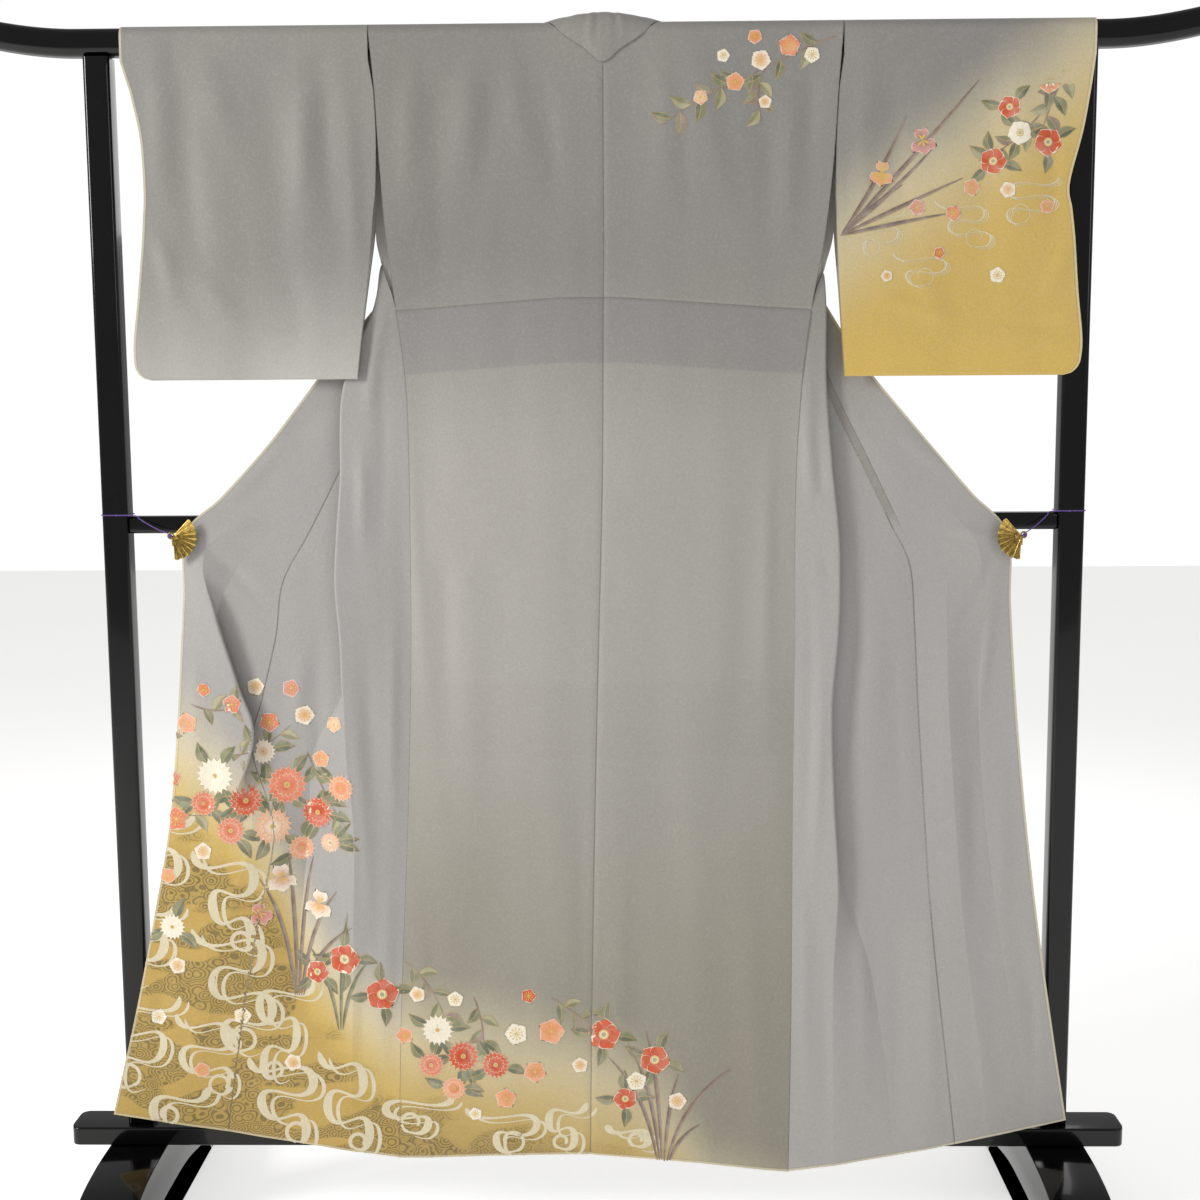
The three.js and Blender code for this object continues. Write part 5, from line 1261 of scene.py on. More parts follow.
def paint():
    """Every motif in its place."""
    # streams over the deep gold of the left fronts, the back hem and the sleeve
    for n, (x, z, swings, reach) in enumerate(
        [(-612, 596, 3, 58), (-520, 540, 3, 44), (-634, 470, 3, 54), (-512, 428, 4, 56), (-640, 330, 3, 58),
         (-560, 306, 3, 48), (-438, 352, 3, 40), (-452, 240, 3, 50), (-590, 196, 1, 44), (-360, 246, 3, 40),
         (-250, 190, 2, 50), (-130, 172, 2, 52), (-40, 180, 2, 34), (44, 150, 1, 34)]
    ):
        drop = 37 + 4 * math.sin(n * 2.3) - (12 if n > 9 else 0)
        stream(x, z, swings, reach, drop, 1 if n % 2 else -1, 12.5 + 1.5 * math.sin(n))
    for n, (x, z, swings, reach) in enumerate(
        [(596, 1470, 3, 44), (500, 1440, 3, 40), (396, 1430, 3, 36), (440, 1372, 2, 40)]
    ):
        stream(x, z, swings, reach, 17, 1 if n % 2 else -1, 2.6, 3)
    # left fronts: small blossom at the edge, chrysanthemums in the middle, irises at the foot
    spray((-668, 768), (-640, 760), (-590, 706), leaves=6)
    spray((-560, 770), (-500, 742), (-470, 800), leaves=5)
    spray((-640, 640), (-592, 604), (-520, 612), leaves=6)
    spray((-400, 700), (-380, 640), (-348, 596), leaves=5)
    spray((-520, 700), (-470, 690), (-420, 740), leaves=5)
    for x, z, size, inner, outer in (
        (-650, 742, 15, ROSE, PINK), (-612, 716, 17, ORANGE, CORAL), (-668, 700, 12, PINK, PEACH),
        (-566, 742, 16, PINK, PEACH), (-500, 770, 14, ROSE, CORAL), (-470, 792, 13, PEACH, IVORY),
        (-632, 644, 14, PEACH, IVORY), (-585, 606, 18, ORANGE, CORAL), (-640, 590, 12, CORAL, PEACH),
        (-452, 742, 15, ORANGE, CORAL), (-402, 752, 15, PEACH, IVORY), (-420, 790, 13, ROSE, PINK),
        (-600, 524, 12, CORAL, PEACH), (-548, 560, 13, PEACH, IVORY), (-655, 470, 12, ROSE, PINK),
        (-590, 394, 13, PEACH, IVORY), (-500, 320, 13, IVORY, IVORY), (-620, 318, 12, IVORY, IVORY),
        (-430, 250, 13, PEACH, IVORY), (-560, 240, 12, CORAL, PEACH), (-686, 716, 14, ROSE, ROSE),
        (-640, 780, 12, PEACH, IVORY), (-590, 664, 13, ROSE, CORAL), (-540, 790, 10, ORANGE, CORAL),
        (-360, 740, 12, IVORY, PEACH), (-380, 690, 13, CORAL, PEACH), (-622, 560, 10, IVORY, PEACH),
    ):
        blossom((x, z), size, dice.random() * 6, inner, outer)
    for x, z, size, inner, outer in (
        (-528, 668, 27, IVORY, IVORY), (-486, 632, 24, RED, ORANGE), (-430, 652, 29, ORANGE, CORAL),
        (-388, 612, 24, RED, ORANGE), (-450, 594, 27, IVORY, PEACH), (-508, 590, 21, ORANGE, CORAL),
        (-412, 560, 19, CORAL, PEACH), (-596, 450, 19, IVORY, IVORY), (-352, 650, 20, CORAL, PEACH),
        (-546, 628, 19, ORANGE, CORAL), (-462, 700, 18, PEACH, IVORY), (-370, 570, 15, IVORY, PEACH),
    ):
        leaves_round(x, z, size, (dice.random() * 6.3 for n in range(3)), 26)
        chrysanthemum((x, z), size, dice.random() * 6, inner, outer)
    reeds((-420, 348), [(-470, 520), (-430, 556), (-396, 548), (-362, 500), (-340, 450)])
    reeds((-360, 300), [(-404, 420), (-346, 470), (-322, 396)], LEAF, LEAF_DARK)
    iris((-440, 520), 25, 0.1, PINK, IVORY)
    iris((-388, 482), 25, -0.2, PEACH, IVORY)
    iris((-470, 470), 20, 0.3, ROSE, PINK)
    for x, z, size in ((-352, 404, 23), (-300, 352, 24), (-392, 384, 17)):
        leaves_round(x, z, size, (n * 1.6 + x for n in range(4)), 24)
        camellia((x, z), size, x * 0.1)
    # back hem: chrysanthemums and camellias falling to tall blades right of the middle
    spray((-270, 400), (-230, 380), (-205, 300), leaves=6)
    spray((-170, 350), (-150, 300), (-160, 250), leaves=5)
    spray((-60, 350), (-30, 330), (10, 300), leaves=5)
    for x, z, size, inner, outer in (
        (-222, 300, 23, IVORY, IVORY), (-186, 262, 24, RED, ORANGE), (-232, 248, 19, ORANGE, CORAL),
        (-140, 250, 21, RED, ORANGE), (-200, 214, 18, CORAL, PEACH),
    ):
        leaves_round(x, z, size, (dice.random() * 6.3 for n in range(3)), 24)
        chrysanthemum((x, z), size, dice.random() * 6, inner, outer)
    for x, z, size, inner, outer in (
        (-250, 352, 12, PEACH, IVORY), (-196, 346, 12, IVORY, IVORY), (-110, 296, 17, IVORY, IVORY),
        (-84, 240, 17, ORANGE, PEACH), (-60, 300, 20, CORAL, PEACH), (-126, 200, 16, CORAL, PEACH),
        (-92, 352, 11, RED, ORANGE), (-20, 250, 12, PEACH, IVORY), (60, 226, 15, IVORY, IVORY),
        (118, 196, 14, PEACH, IVORY), (-170, 176, 10, IVORY, IVORY), (-270, 290, 13, CORAL, PEACH),
    ):
        blossom((x, z), size, dice.random() * 6, inner, outer)
    reeds((96, 100), [(20, 262), (48, 282), (74, 300), (120, 236), (196, 244), (150, 160)])
    for x, z, size in ((14, 296, 24), (86, 258, 22), (44, 200, 17)):
        leaves_round(x, z, size, (n * 1.55 + x for n in range(4)), 24)
        camellia((x, z), size, x * 0.1)
    # right sleeve: camellias falling from the cuff to irises and blades at the body end
    spray((640, 1630), (620, 1590), (600, 1530), leaves=7)
    spray((600, 1560), (570, 1520), (520, 1500), leaves=5)
    blades((338, 1404), [(424, 1560), (462, 1520), (520, 1606), (500, 1478), (484, 1432), (420, 1470)])
    for x, z, size, inner, outer in (
        (612, 1604, 17, CORAL, PEACH), (560, 1570, 15, RED, ORANGE), (612, 1524, 19, RED, ORANGE),
        (574, 1536, 16, IVORY, IVORY), (540, 1500, 18, RED, ORANGE),
    ):
        leaves_round(x, z, size, (n * 2.1 + x for n in range(3)), 21)
        camellia((x, z), size, x * 0.1, inner, outer)
    for x, z, size, inner, outer in (
        (512, 1466, 12, CORAL, PEACH), (560, 1462, 11, PEACH, IVORY), (488, 1432, 11, PEACH, CORAL),
        (612, 1440, 10, PINK, PEACH), (470, 1380, 8, RED, CORAL), (548, 1350, 11, IVORY, IVORY),
        (440, 1440, 11, ROSE, PINK), (400, 1350, 8, PEACH, IVORY),
    ):
        blossom((x, z), size, dice.random() * 6, inner, outer)
    iris((446, 1528), 21, 0.2, REED, PINK)
    iris((392, 1486), 20, -0.1, AMBER, PEACH)
    # right shoulder: one flowering branch
    spray((330, 1664), (262, 1640), (180, 1596), leaves=7)
    spray((210, 1612), (150, 1590), (96, 1548), leaves=7)
    spray((236, 1626), (220, 1592), (232, 1556), leaves=5)
    for x, z, size, inner, outer in (
        (268, 1652, 15, PEACH, CORAL), (230, 1634, 14, PEACH, IVORY), (298, 1640, 11, IVORY, IVORY),
        (196, 1606, 13, CORAL, PEACH), (222, 1664, 10, ORANGE, PEACH), (150, 1586, 10, IVORY, PEACH),
        (236, 1580, 9, PEACH, IVORY), (180, 1640, 9, IVORY, IVORY),
    ):
        blossom((x, z), size, dice.random() * 6, inner, outer)


def print_finish():
    """Dye and gold thread on the silk: its own colour, with the cloth's grain and lustre."""
    material, wire, shader = finish(
        "dyed_print", Sheen_Weight=0.2, Sheen_Roughness=0.42, Specular_IOR_Level=0.4
    )
    place = wire.node("ShaderNodeTexCoord", output=3)
    dye = wire.node("ShaderNodeAttribute", {"attribute_name": "dye"})
    grain = wire.noise(wire.scaled(place, (1.0, 1.0, 0.72)), 560.0, 3.0, 0.62)
    cloud = wire.noise(place, 60.0, 2.0)
    colour = wire.blend(cloud.step(0.3, 0.75) * 0.18, dye, tint("efe3cf"))
    colour = wire.blend(grain.step(0.42, 0.62) * 0.12, colour, tint("5c5349"))
    uneven = bump(wire, grain, 0.00022, 0.5)
    plug(wire, shader, Base_Color=colour, Roughness=cloud * 0.14 + 0.42, Normal=uneven)
    return material


def lay_picture():
    """Sets every motif on the cloth and cuts it off where it would leave a fold or an edge."""
    depth, owner = foremost()
    low_x, _, low_z, _ = PRINT_SPAN
    start = np.cumsum([0] + [len(p[0]) for p in picture[:-1]])
    points = np.concatenate([p[0] for p in picture])
    faces = np.concatenate([p[1] + s for p, s in zip(picture, start)])
    colours = np.concatenate([p[2] for p in picture])
    lift = np.concatenate([p[3] for p in picture])
    gx = np.clip(points[:, 0] - low_x - 0.5, 0, depth.shape[0] - 2.001)
    gz = np.clip(points[:, 1] - low_z - 0.5, 0, depth.shape[1] - 2.001)
    i, j = gx.astype(int), gz.astype(int)
    s, t = gx - i, gz - j
    corners = np.stack([depth[i, j], depth[i + 1, j], depth[i, j + 1], depth[i + 1, j + 1]], 1)
    share = np.stack([(1 - s) * (1 - t), s * (1 - t), (1 - s) * t, s * t], 1)
    y = (corners * share).sum(1)
    spread = corners.max(1) - corners.min(1)
    belongs = owner[np.rint(gx).astype(int), np.rint(gz).astype(int)]
    bad = np.isnan(y) | (spread > 1.6) | (belongs < 0)
    y = np.nan_to_num(y) - lift
    whole = np.stack([points[:, 0], y, points[:, 1]], 1)
    span = y[faces].max(1) - y[faces].min(1)
    owners = belongs[faces]
    keep = ~bad[faces].any(1) & (span < 2.5) & (owners == owners[:, :1]).all(1)
    faces, owners = faces[keep], owners[keep, 0]
    material = print_finish()
    made = {}
    for number, name in enumerate(surfaces):
        some = faces[owners == number]
        if not len(some):
            continue
        used, index = np.unique(some, return_inverse=True)
        index = index.reshape(some.shape)
        facing = whole[used][index]
        normal = np.cross(facing[:, 1] - facing[:, 0], facing[:, 3] - facing[:, 0])
        index[normal[:, 1] > 0] = index[normal[:, 1] > 0][:, ::-1]
        piece = mesh_object("print_" + name, whole[used], index)
        layer = piece.data.color_attributes.new(name="dye", type="FLOAT_COLOR", domain="POINT")
        opaque = np.concatenate([colours[used], np.ones((len(used), 1))], 1)
        layer.data.foreach_set("color", opaque.astype(np.float32).ravel())
        piece.data.materials.append(material)
        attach(piece, "root")
        made[name] = piece
    return made


paint()
prints = lay_picture()


def cut(name, flat, area=None):
    """Looks up the picture that lies on a cloth piece, and keeps nothing; its flat cut is not used."""
    on_it = [prints[name]] if name in prints else []


cut("body_left", (0.31, 3.16), 0.83)
cut("body_right", (0.31, 3.16), 0.83)
cut("overlap_left", (0.15, 1.32), 0.165)
cut("overlap_right", (0.15, 1.32), 0.165)
cut("collar", (0.057, 1.9))
cut("sleeve_left", (0.33, 0.98))
cut("sleeve_right", (0.33, 0.98))


# ------------------------------------------------------------------ lacquer, brass and thread
def lacquer():
    """Black lacquer, polished: a deep coat over a ground with the faintest waviness and dust."""
    material, wire, shader = finish(
        "black_lacquer", Coat_Weight=0.35, Coat_Roughness=0.05, Coat_IOR=1.5, Specular_IOR_Level=0.2
    )
    place = wire.node("ShaderNodeTexCoord", output=3)
    cloud = wire.noise(place, 7.0, 2.0)
    dust = wire.noise(place, 320.0, 2.0).step(0.66, 0.78)
    colour = wire.blend(cloud, tint("040304"), tint("080607"))
    colour = wire.blend(dust * 0.05, colour, tint("6a6663"))
    uneven = bump(wire, cloud, 0.0006, 0.10)
    plug(wire, shader, Base_Color=colour, Roughness=cloud * 0.06 + 0.12, Normal=uneven)
    return material


def brass():
    """Pressed brass: warm and bright on its ridges, browner where it is worn matt, finely scratched."""
    material, wire, shader = finish("aged_brass", Metallic=1.0, Specular_IOR_Level=0.5)
    place = wire.node("ShaderNodeTexCoord", output=3)
    cloud = wire.noise(place, 190.0, 3.0)
    scratch = wire.noise(wire.scaled(place, (1.0, 0.3, 7.0)), 700.0, 2.0)
    spots = wire.noise(place, 700.0, 1.0).step(0.6, 0.7)
    colour = wire.blend(cloud.step(0.35, 0.7), tint("bfa258"), tint("86703a"))
    colour = wire.blend(spots * 0.45, colour, tint("5a4a20"))
    uneven = bump(wire, scratch, 0.0002, 0.25)
    plug(wire, shader, Base_Color=colour, Roughness=cloud * 0.22 + 0.20, Normal=uneven)
    return material


def thread():
    """Twisted purple silk thread: two plies, with painted shade darker in the groove between them."""
    material, wire, shader = finish(
        "purple_thread", Sheen_Weight=0.5, Sheen_Roughness=0.4, Specular_IOR_Level=0.3
    )
    place = wire.node("ShaderNodeTexCoord", output=3)
    fibre = wire.noise(place, 2600.0, 2.0)
    groove = wire.node("ShaderNodeAttribute", {"attribute_name": "edge"}, output=2)
    # painted shade: darker in the groove between the plies
    colour = wire.blend(groove * 1000.0, tint("3b2168"), tint("7450a8"))
    colour = wire.blend(fibre.step(0.4, 0.7) * 0.4, colour, tint("2b184c"))
    uneven = bump(wire, fibre, 0.0002, 0.5)
    plug(wire, shader, Base_Color=colour, Roughness=fibre * 0.2 + 0.55, Normal=uneven)
    return material


LACQUER, BRASS, THREAD = lacquer(), brass(), thread()


def hard_object(name, points, faces, material, slot_name, *nodes, sharp=32):
    """A hard piece that stands for CAD nodes, its faces turned outwards and its sharp edges kept sharp."""
    made = mesh_object(name, points, faces)
    face_out(made.data)
    made.data.polygons.foreach_set("use_smooth", np.ones(len(made.data.polygons), bool))
    made.data.set_sharp_from_angle(angle=math.radians(sharp))
    made.data.materials.append(material)
    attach(made, "root")
    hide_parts(*nodes)
    return made


def rounded(wide, tall, corner, steps=9):
    """A rectangle with round corners, once round, as points about its middle."""
    turn = np.linspace(0, math.pi / 2, steps)
    quarter = np.stack([np.cos(turn), np.sin(turn)], 1) * corner
    quarter += (wide / 2 - corner, tall / 2 - corner)
    quarters = [quarter, quarter[::-1] * (-1, 1), quarter * (-1, -1), quarter[::-1] * (1, -1)]
    return np.concatenate(quarters)


def ring_bands(count, around):
    """Quads between each closed ring of points and the next."""
    i = np.arange(count - 1)[:, None]
    j = np.arange(around)[None, :]
    k = (j + 1) % around
    corners = [i * around + j, i * around + k, (i + 1) * around + k, (i + 1) * around + j]
    return np.stack(corners, -1).reshape(-1, 4)


def capped(rings):
    """A closed skin over rings of points: a band between each pair, and a fan to the middle of each end."""
    count, around = rings.shape[:2]
    bands = ring_bands(count, around)
    points = rings.reshape(-1, 3)
    ends = np.stack([rings[0].mean(0), rings[-1].mean(0)])
    j = np.arange(around)
    k = (j + 1) % around
    start = (count - 1) * around
    first = np.stack([np.full(around, len(points)), k, j], 1)
    last = np.stack([np.full(around, len(points) + 1), start + j, start + k], 1)
    return np.concatenate([points, ends]), bands.tolist() + first.tolist() + last.tolist()


def bevelled(places, section, axis, cut, steps=4):
    """Rings of a section along an axis whose first and last few shrink round a bevel of the given cut."""
    turn = np.linspace(0, math.pi / 2, steps)
    low = places[0] + cut * (1 - np.sin(turn))
    high = places[-1] - cut * (1 - np.sin(turn[::-1]))
    where = np.concatenate([low[::-1], places[(places > low.max()) & (places < high.min())], high[::-1]])
    where = np.sort(where)
    depth = np.minimum(where - places[0], places[-1] - where)
    inset = cut - np.sqrt(np.maximum(0, cut**2 - np.maximum(0, cut - depth) ** 2))
    size = np.abs(section).max(0)
    scale = 1 - inset[:, None, None] / size
    flat = section[None] * scale
    rings = np.empty((len(where), len(section), 3))
    others = [a for a in range(3) if a != axis]
    rings[..., axis] = where[:, None]
    rings[..., others[0]], rings[..., others[1]] = flat[..., 0], flat[..., 1]
    return rings


UPRIGHT_X = 660
UPRIGHT_WIDE, UPRIGHT_DEEP, UPRIGHT_CORNER = 36, 34, 6
CROSSBAR_Z, CROSSBAR_TALL = 1018, 24
FOOT_HALF, FOOT_ROUND = 42, 3
BEAM_END, BEAM_ROUND = 757, 12
CORD_RADIUS, CORD_GAP = 0.8, 0.35


def build_stand():
    """The stand: swept bar, uprights, crossbar, beam and arched feet, each a smooth closed skin."""
    s = np.linspace(-1, 1, 181)
    x = 885 * (0.72 * s + 0.28 * s * np.abs(s) ** 0.5)
    rings = bevelled(x, rounded(34, 37, 13), 0, 2.5)
    rise = 34 * (np.maximum(0, np.abs(rings[..., 0]) - 690) / 195) ** 1.8
    rings[..., 2] += 1667 + rise
    hard_object("bar", *capped(rings), LACQUER, "lacquer", "stand_top_bar")
    for side in (-1, 1):
        section = rounded(UPRIGHT_WIDE, UPRIGHT_DEEP, UPRIGHT_CORNER)
        rings = bevelled(np.linspace(148.4, 1648.1, 60), section, 2, 1.0)
        rings[..., 0] += side * UPRIGHT_X
        hard_object("upright_" + EDGE[side], *capped(rings), LACQUER, "lacquer", "stand_upright_" + EDGE[side])
        out = table(
            "y top under",
            (0, 120.6, 50), (45, 120.6, 49.5), (85, 119.5, 46), (130, 115, 38), (160, 109, 31), (185, 101, 21),
            (200, 94, 11), (208, 90, 0), (232, 74, 0), (243, 60, 0),
        )
        place = np.linspace(0, 7, 60)
        under = np.stack([smooth(out["y"][:8], place), smooth(out["under"][:8], place)], 1)
        place = np.linspace(0, 9, 70)
        over = np.stack([smooth(out["y"], place), smooth(out["top"], place)], 1)
        toe = np.array([(243, 40), (243, 20), (242.5, 5), (238, 0), (222, 0)], float)
        half = np.concatenate([over, toe, under[::-1]])
        outline = np.concatenate([half, (half * (-1, 1))[::-1][1:-1]])
        along = np.roll(outline, -1, 0) - np.roll(outline, 1, 0)
        normal = np.stack([along[:, 1], -along[:, 0]], 1)
        normal /= np.maximum(np.linalg.norm(normal, axis=1, keepdims=True), 1e-6)
        middle = np.array([0, 80.0])
        if (normal[10] @ (outline[10] - middle)) < 0:
            normal = -normal
        turn = np.linspace(0, math.pi / 2, 5)
        eased = FOOT_ROUND * (1 - np.cos(turn))
        across = np.sort(np.concatenate([-FOOT_HALF + eased, FOOT_HALF - eased]))
        gap = np.minimum(across + FOOT_HALF, FOOT_HALF - across)
        inset = FOOT_ROUND - np.sqrt(np.maximum(0, FOOT_ROUND**2 - np.maximum(0, FOOT_ROUND - gap) ** 2))
        flat = outline[None] - normal[None] * inset[:, None, None]
        flat[..., 1] = np.maximum(flat[..., 1], 0)
        foot_x = across[:, None] + side * UPRIGHT_X + 0 * flat[..., 0]
        rings = np.stack([foot_x, flat[..., 0], flat[..., 1]], -1)
        hard_object("foot_" + EDGE[side], *flat_ended(rings), LACQUER, "lacquer", "stand_foot_" + EDGE[side])
    rings = bevelled(np.linspace(-641.6, 641.6, 60), rounded(22, CROSSBAR_TALL, 5), 0, 1.0)
    rings[..., 2] += CROSSBAR_Z
    hard_object("crossbar", *capped(rings), LACQUER, "lacquer", "stand_crossbar")
    straight = BEAM_END - BEAM_ROUND
    curve = BEAM_ROUND * (1 - np.cos(np.linspace(0, math.pi / 2, 12)))
    x = np.concatenate([-BEAM_END + curve, np.linspace(1 - straight, straight - 1, 60), BEAM_END - curve[::-1]])
    end = np.maximum(0, np.abs(x) - straight)
    deep = 60 - 2 * (BEAM_ROUND - np.sqrt(np.maximum(0, BEAM_ROUND**2 - end**2)))
    rings = np.stack([np.stack([np.full(36, a), *rounded(d, 27, 3.0).T], 1) for a, d in zip(x, deep)])
    rings[..., 2] += 134.5
    hard_object("beam", *capped(rings), LACQUER, "lacquer", "stand_beam")


def flat_ended(rings):
    """A closed skin over rings that are not convex: bands between them and one flat face at each end."""
    count, around = rings.shape[:2]
    bands = ring_bands(count, around)
    ends = [list(range(around))[::-1], [(count - 1) * around + n for n in range(around)]]
    return rings.reshape(-1, 3), bands.tolist() + ends


def tube(path, radius, around=14, twist=0.0, ply=0.0):
    """A round cord along points: rings square to the path, swollen ply times by two strands that twist."""
    step = np.gradient(path, axis=0)
    step /= np.linalg.norm(step, axis=1, keepdims=True)
    aside = np.cross(step, (0.08, 0.12, 1.0))
    aside /= np.linalg.norm(aside, axis=1, keepdims=True)
    above = np.cross(aside, step)
    run = np.concatenate([[0], np.linalg.norm(np.diff(path, axis=0), axis=1).cumsum()])
    turn = np.linspace(0, 2 * math.pi, around, endpoint=False)
    wave = np.cos(2 * (turn[None] - run[:, None] * twist))
    reach = radius * (1 - ply + ply * np.abs(wave))
    rings = path[:, None] + reach[..., None] * (
        np.cos(turn)[None, :, None] * aside[:, None] + np.sin(turn)[None, :, None] * above[:, None]
    )
    return rings, np.abs(wave)


def resample(points, count):
    """Points at even steps along a smooth curve through the given ones."""
    points = np.asarray(points, float)
    fine = smooth(points, np.linspace(0, len(points) - 1, count * 4))
    run = np.concatenate([[0], np.linalg.norm(np.diff(fine, axis=0), axis=1).cumsum()])
    want = np.linspace(0, run[-1], count)
    return np.stack([np.interp(want, run, fine[:, k]) for k in range(3)], 1)


def merge(*skins):
    """Several skins of points and faces as one."""
    points, faces, start = [], [], 0
    for some, these in skins:
        points.append(some)
        faces += [[int(n) + start for n in face] for face in these]
        start += len(some)
    return np.concatenate(points), faces


def fan_skin(x, y, z, side, radius, first, last, pleats, thick, depth):
    """A pleated fan: a sector about a pivot whose leaves zigzag in depth and whose rim is scalloped.

    Each leaf rises to its ridge and falls to the next valley; the pleats deepen from the pivot to the rim.
    """
    turn = np.linspace(0, 1, pleats * 6 + 1)[:, None]
    out = np.linspace(0.06, 1, 12)[None, :]
    angle = np.radians(first + (last - first) * turn)
    zigzag = 1 - 2 * np.abs((turn * pleats) % 1 - 0.5)
    reach = out * (radius - 1.3 * (1 - zigzag) * (out > 0.9))
    px = x - side * reach * np.cos(angle)
    pz = z + reach * np.sin(angle)
    py = y - depth * zigzag * out + 0 * px
    grid = np.stack([px, py, pz], -1)
    made = shell(grid, thick, np.zeros((*grid.shape[:2], 2)), np.zeros((*grid.shape[:2], 2)), (0, -1, 0), 3)
    return made[0], made[1].tolist()


def ring_skin(x, y, z, radius, tube_radius, count=40):
    """A ring standing in the XZ plane, its middle on the pivot."""
    turn = np.linspace(0, 2 * math.pi, count, endpoint=False)
    spin = np.linspace(0, 2 * math.pi, 14, endpoint=False)
    reach = radius + tube_radius * np.cos(spin)[None]
    grid = np.stack(
        [x + reach * np.cos(turn)[:, None], y + tube_radius * np.sin(spin)[None] + 0 * reach * turn[:, None],
         z + reach * np.sin(turn)[:, None]], -1,
    )
    i, j = np.arange(count)[:, None], np.arange(14)[None]
    k, m = (i + 1) % count, (j + 1) % 14
    faces = np.stack([i * 14 + j, k * 14 + j, k * 14 + m, i * 14 + m], -1).reshape(-1, 4)
    return grid.reshape(-1, 3), faces.tolist()


def block(low, high, corner, axis):
    """A block with round corners about an axis and eased ends."""
    low, high = np.asarray(low, float), np.asarray(high, float)
    others = [a for a in range(3) if a != axis]
    size, middle = high - low, (high + low) / 2
    section = rounded(size[others[0]], size[others[1]], corner, 5)
    rings = bevelled(np.linspace(low[axis], high[axis], 5), section, axis, min(0.6, corner))
    for a in others:
        rings[..., a] += middle[a]
    return capped(rings)


def build_clips():
    """Each clip: a pleated fan over the cloth, its ribs and pivot ring, and a sprung jaw behind the cloth.

    Its string is a loop round the upright and a tail with a little sag to the pivot's eye, both knotted.
    """
    for side, x, z in ((-1, -574.0, 1004.0), (1, 587.0, 1000.0)):
        name = EDGE[side]
        eye_x = x + side * 3
        skins = [fan_skin(x, -35.3, z, side, 33, 48, -88, 9, 0.8, 1.3)]
        for i in range(10):
            angle = math.radians(45 + (-85 - 45) * i / 9)
            way = np.array([-side * math.cos(angle), 0, math.sin(angle)])
            path = np.array([x, -36.5, z]) + way * np.linspace(3, 31.2, 12)[:, None]
            rings, _ = tube(path, 0.6, 10)
            skins.append(capped(rings))
        skins.append(ring_skin(eye_x, -35.6, z + 1, 4.0, 1.15))
        skins.append(block((x - side - 3, -36, z - 13), (x - side + 3, -34, z + 1), 0.8, 1))
        skins.append(block((x - side - 2.5, -35, z - 13.5), (x - side + 2.5, -9.2, z - 5.5), 1.2, 1))
        skins.append(fan_skin(x, -10, z - 4, side, 24, -22, -82, 5, 1.6, 0.3))
        stud = rounded(5.2, 5.2, 2.59, 7)
        rings = bevelled(np.linspace(-38.2, -35, 6), stud, 1, 1.2)
        rings[..., 0] += x - side * 6
        rings[..., 2] += z - 1
        skins.append(capped(rings))
        hard_object("clip_" + name, *merge(*skins), BRASS, "brass", "fan_clip_" + name, sharp=26)
        build_string(side, z, eye_x)


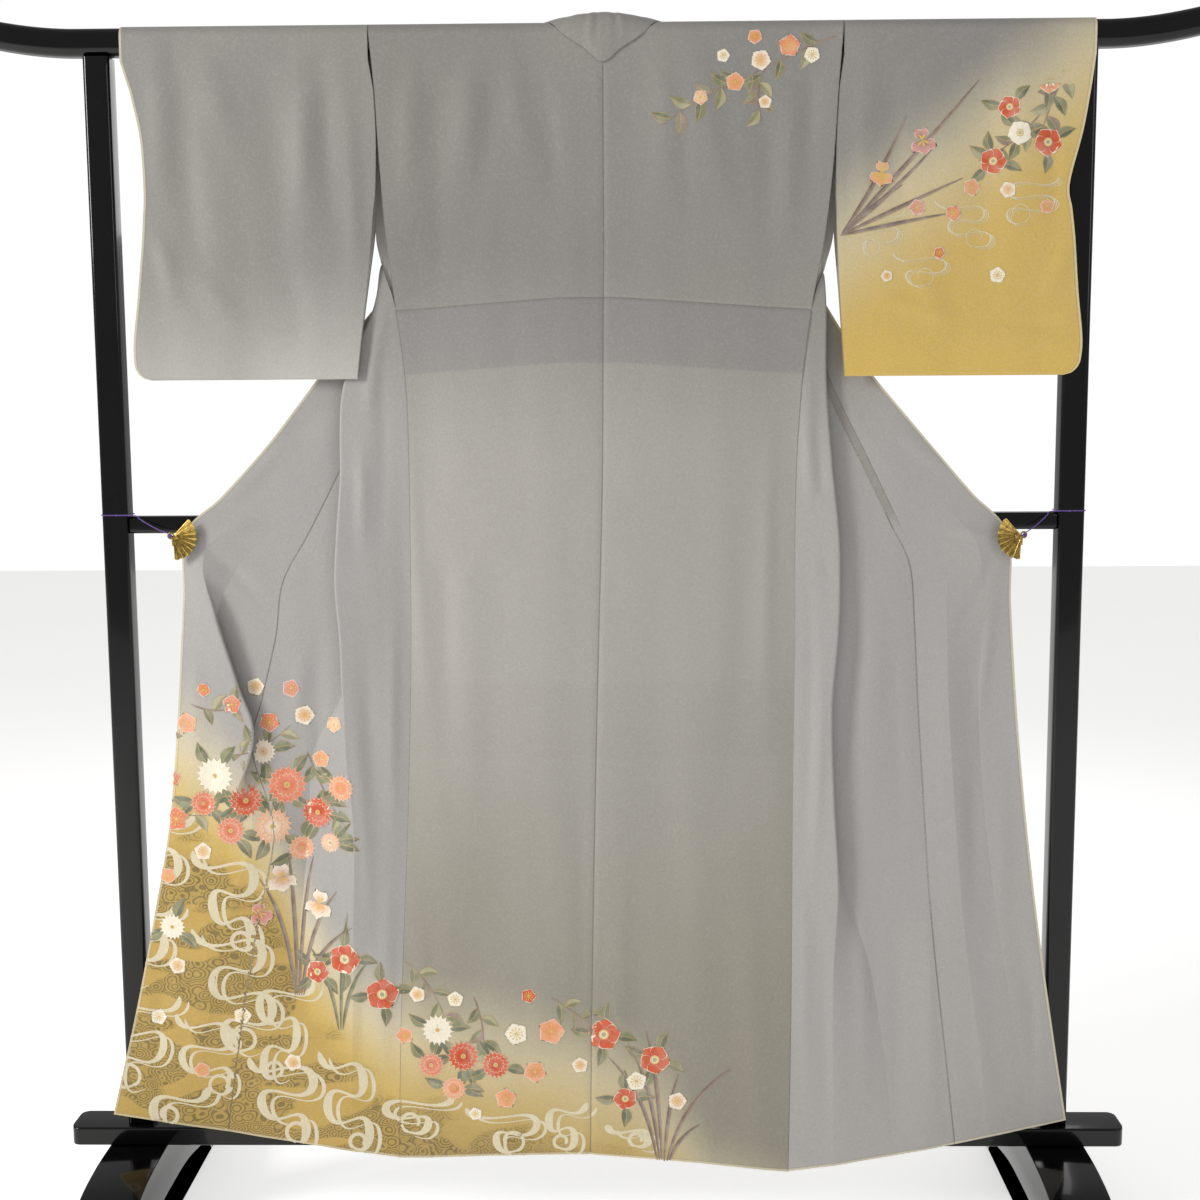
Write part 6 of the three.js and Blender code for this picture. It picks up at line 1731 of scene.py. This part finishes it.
def build_string(side, z, eye_x):
    """A twisted cord: once round the upright, then across to the clip's eye; a knot at each end."""
    height = CROSSBAR_Z + CROSSBAR_TALL / 2 + 2.2
    wide = UPRIGHT_WIDE + 2 * CORD_GAP + 2 * CORD_RADIUS
    deep = UPRIGHT_DEEP + 2 * CORD_GAP + 2 * CORD_RADIUS
    section = rounded(wide, deep, UPRIGHT_CORNER + CORD_GAP + CORD_RADIUS, 7)
    front = -(UPRIGHT_DEEP / 2 + CORD_GAP + CORD_RADIUS)
    middle = side * UPRIGHT_X
    begin = np.array([middle - side * 4.0, front - 0.9, height])
    turn = np.arctan2(section[:, 1], section[:, 0]) - math.atan2(front, side * -4.0)
    order = np.argsort(turn % (2 * math.pi))
    corners = np.stack([middle + section[order, 0], section[order, 1], np.full(len(order), height)], 1)
    run = np.concatenate([[(begin[0] + 0.4, front, height)], corners, [(begin[0] - 0.4, front, height)]])
    loop, groove = tube(resample(run, 300), CORD_RADIUS, 12, 1.15, 0.22)
    stand = np.array([middle - side * 30.0, front - 1.6, height - 0.6])
    behind = np.array([eye_x + side * 2, -29.5, z + 2.4])
    t = np.linspace(0, 1, 9)[:, None]
    tail = stand * (1 - t) + behind * t
    tail[:, 2] -= 2.5 * np.sin(math.pi * t[:, 0])
    tail = np.concatenate([[begin], tail, [(eye_x, -33, z + 1), (eye_x, -39, z + 1)]])
    tail, groove_tail = tube(resample(tail, 260), CORD_RADIUS, 12, 1.15, 0.22)
    knots, shade = [], []
    for place, size in ((begin, 1.7), (np.array([eye_x, -39.4, z + 1]), 2.9)):
        around = np.linspace(0, 2 * math.pi, 240)
        path = np.stack(
            [np.cos(around * 3) * (1 + 0.45 * np.cos(around * 5)), np.sin(around * 5) * 0.8,
             np.sin(around * 3) * (1 + 0.45 * np.cos(around * 5))], 1,
        ) * (size - CORD_RADIUS) * 0.66 + place
        rings, wave = tube(path, 0.78, 10, 1.15, 0.2)
        knots.append(capped(rings))
        shade.append(wave)
    skins = [capped(loop), capped(tail)] + knots
    made = hard_object(
        "string_" + EDGE[side], *merge(*skins), THREAD, "string", "clip_string_" + EDGE[side], sharp=70
    )
    # how far each point stands out on its ply, stored as 'edge', for the thread's painted shade in the grooves
    value = []
    for wave in (groove, groove_tail, *shade):
        value += [*wave.ravel(), 0.5, 0.5]
    attribute = made.data.attributes.new("edge", "FLOAT", "POINT")
    attribute.data.foreach_set("value", np.array(value, np.float32) * MM)


build_stand()
build_clips()


# ------------------------------------------------------------------ floor and light
def floor():
    """A wide pale floor, its top half a millimetre under the feet, a little bright of itself."""
    material, wire, shader = finish(
        "pale_floor", Roughness=0.75, Emission_Color=(1, 1, 1, 1), Emission_Strength=0.5
    )
    place = wire.node("ShaderNodeTexCoord", output=3)
    cloud = wire.noise(place, 1.2, 2.0)
    colour = wire.blend(cloud, tint("f4f3f1"), tint("fafaf8"))
    plug(wire, shader, Base_Color=colour)
    points = [(-9000, -6000, -0.5), (9000, -6000, -0.5), (9000, 9000, -0.5), (-9000, 9000, -0.5)]
    made = mesh_object("floor", np.array(points), [(0, 1, 2, 3)], False)
    made.data.materials.append(material)


def area_light(name, place, aim, size, power, colour=(1, 1, 1)):
    """A rectangular lamp at a place, turned to a point; size in metres, power in watts."""
    data = bpy.data.lights.new(name, "AREA")
    data.shape = "RECTANGLE"
    data.size, data.size_y = size
    data.energy = power
    data.color = colour
    lamp = bpy.data.objects.new(name, data)
    lamp.location = place
    lamp.rotation_euler = (Vector(aim) - Vector(place)).to_track_quat("-Z", "Y").to_euler()
    scene.collection.objects.link(lamp)


floor()
area_light("soft_left", (-3.3, -1.9, 2.5), (0, 0, 0.95), (0.9, 1.8), 118, (1.0, 0.985, 0.96))
area_light("soft_right", (3.0, -3.0, 2.4), (0, 0, 0.9), (1.2, 2.0), 20, (0.97, 0.985, 1.0))
area_light("soft_behind", (0.3, 2.6, 2.4), (0, 0, 1.0), (2.4, 1.6), 16)


def studio_world():
    """A white room: full white where it is looked at, and a softer fill on the cloth."""
    world = bpy.data.worlds.new("studio")
    world.use_nodes = True
    wire = Wire(world.node_tree)
    seen = wire.node("ShaderNodeLightPath")
    back = world.node_tree.nodes["Background"]
    back.inputs["Color"].default_value = (1, 1, 1, 1)
    world.node_tree.links.new((seen * 0.65 + 0.36).socket, back.inputs["Strength"])
    scene.world = world


studio_world()
scene.view_settings.view_transform = "Standard"

bpy.context.view_layer.update()
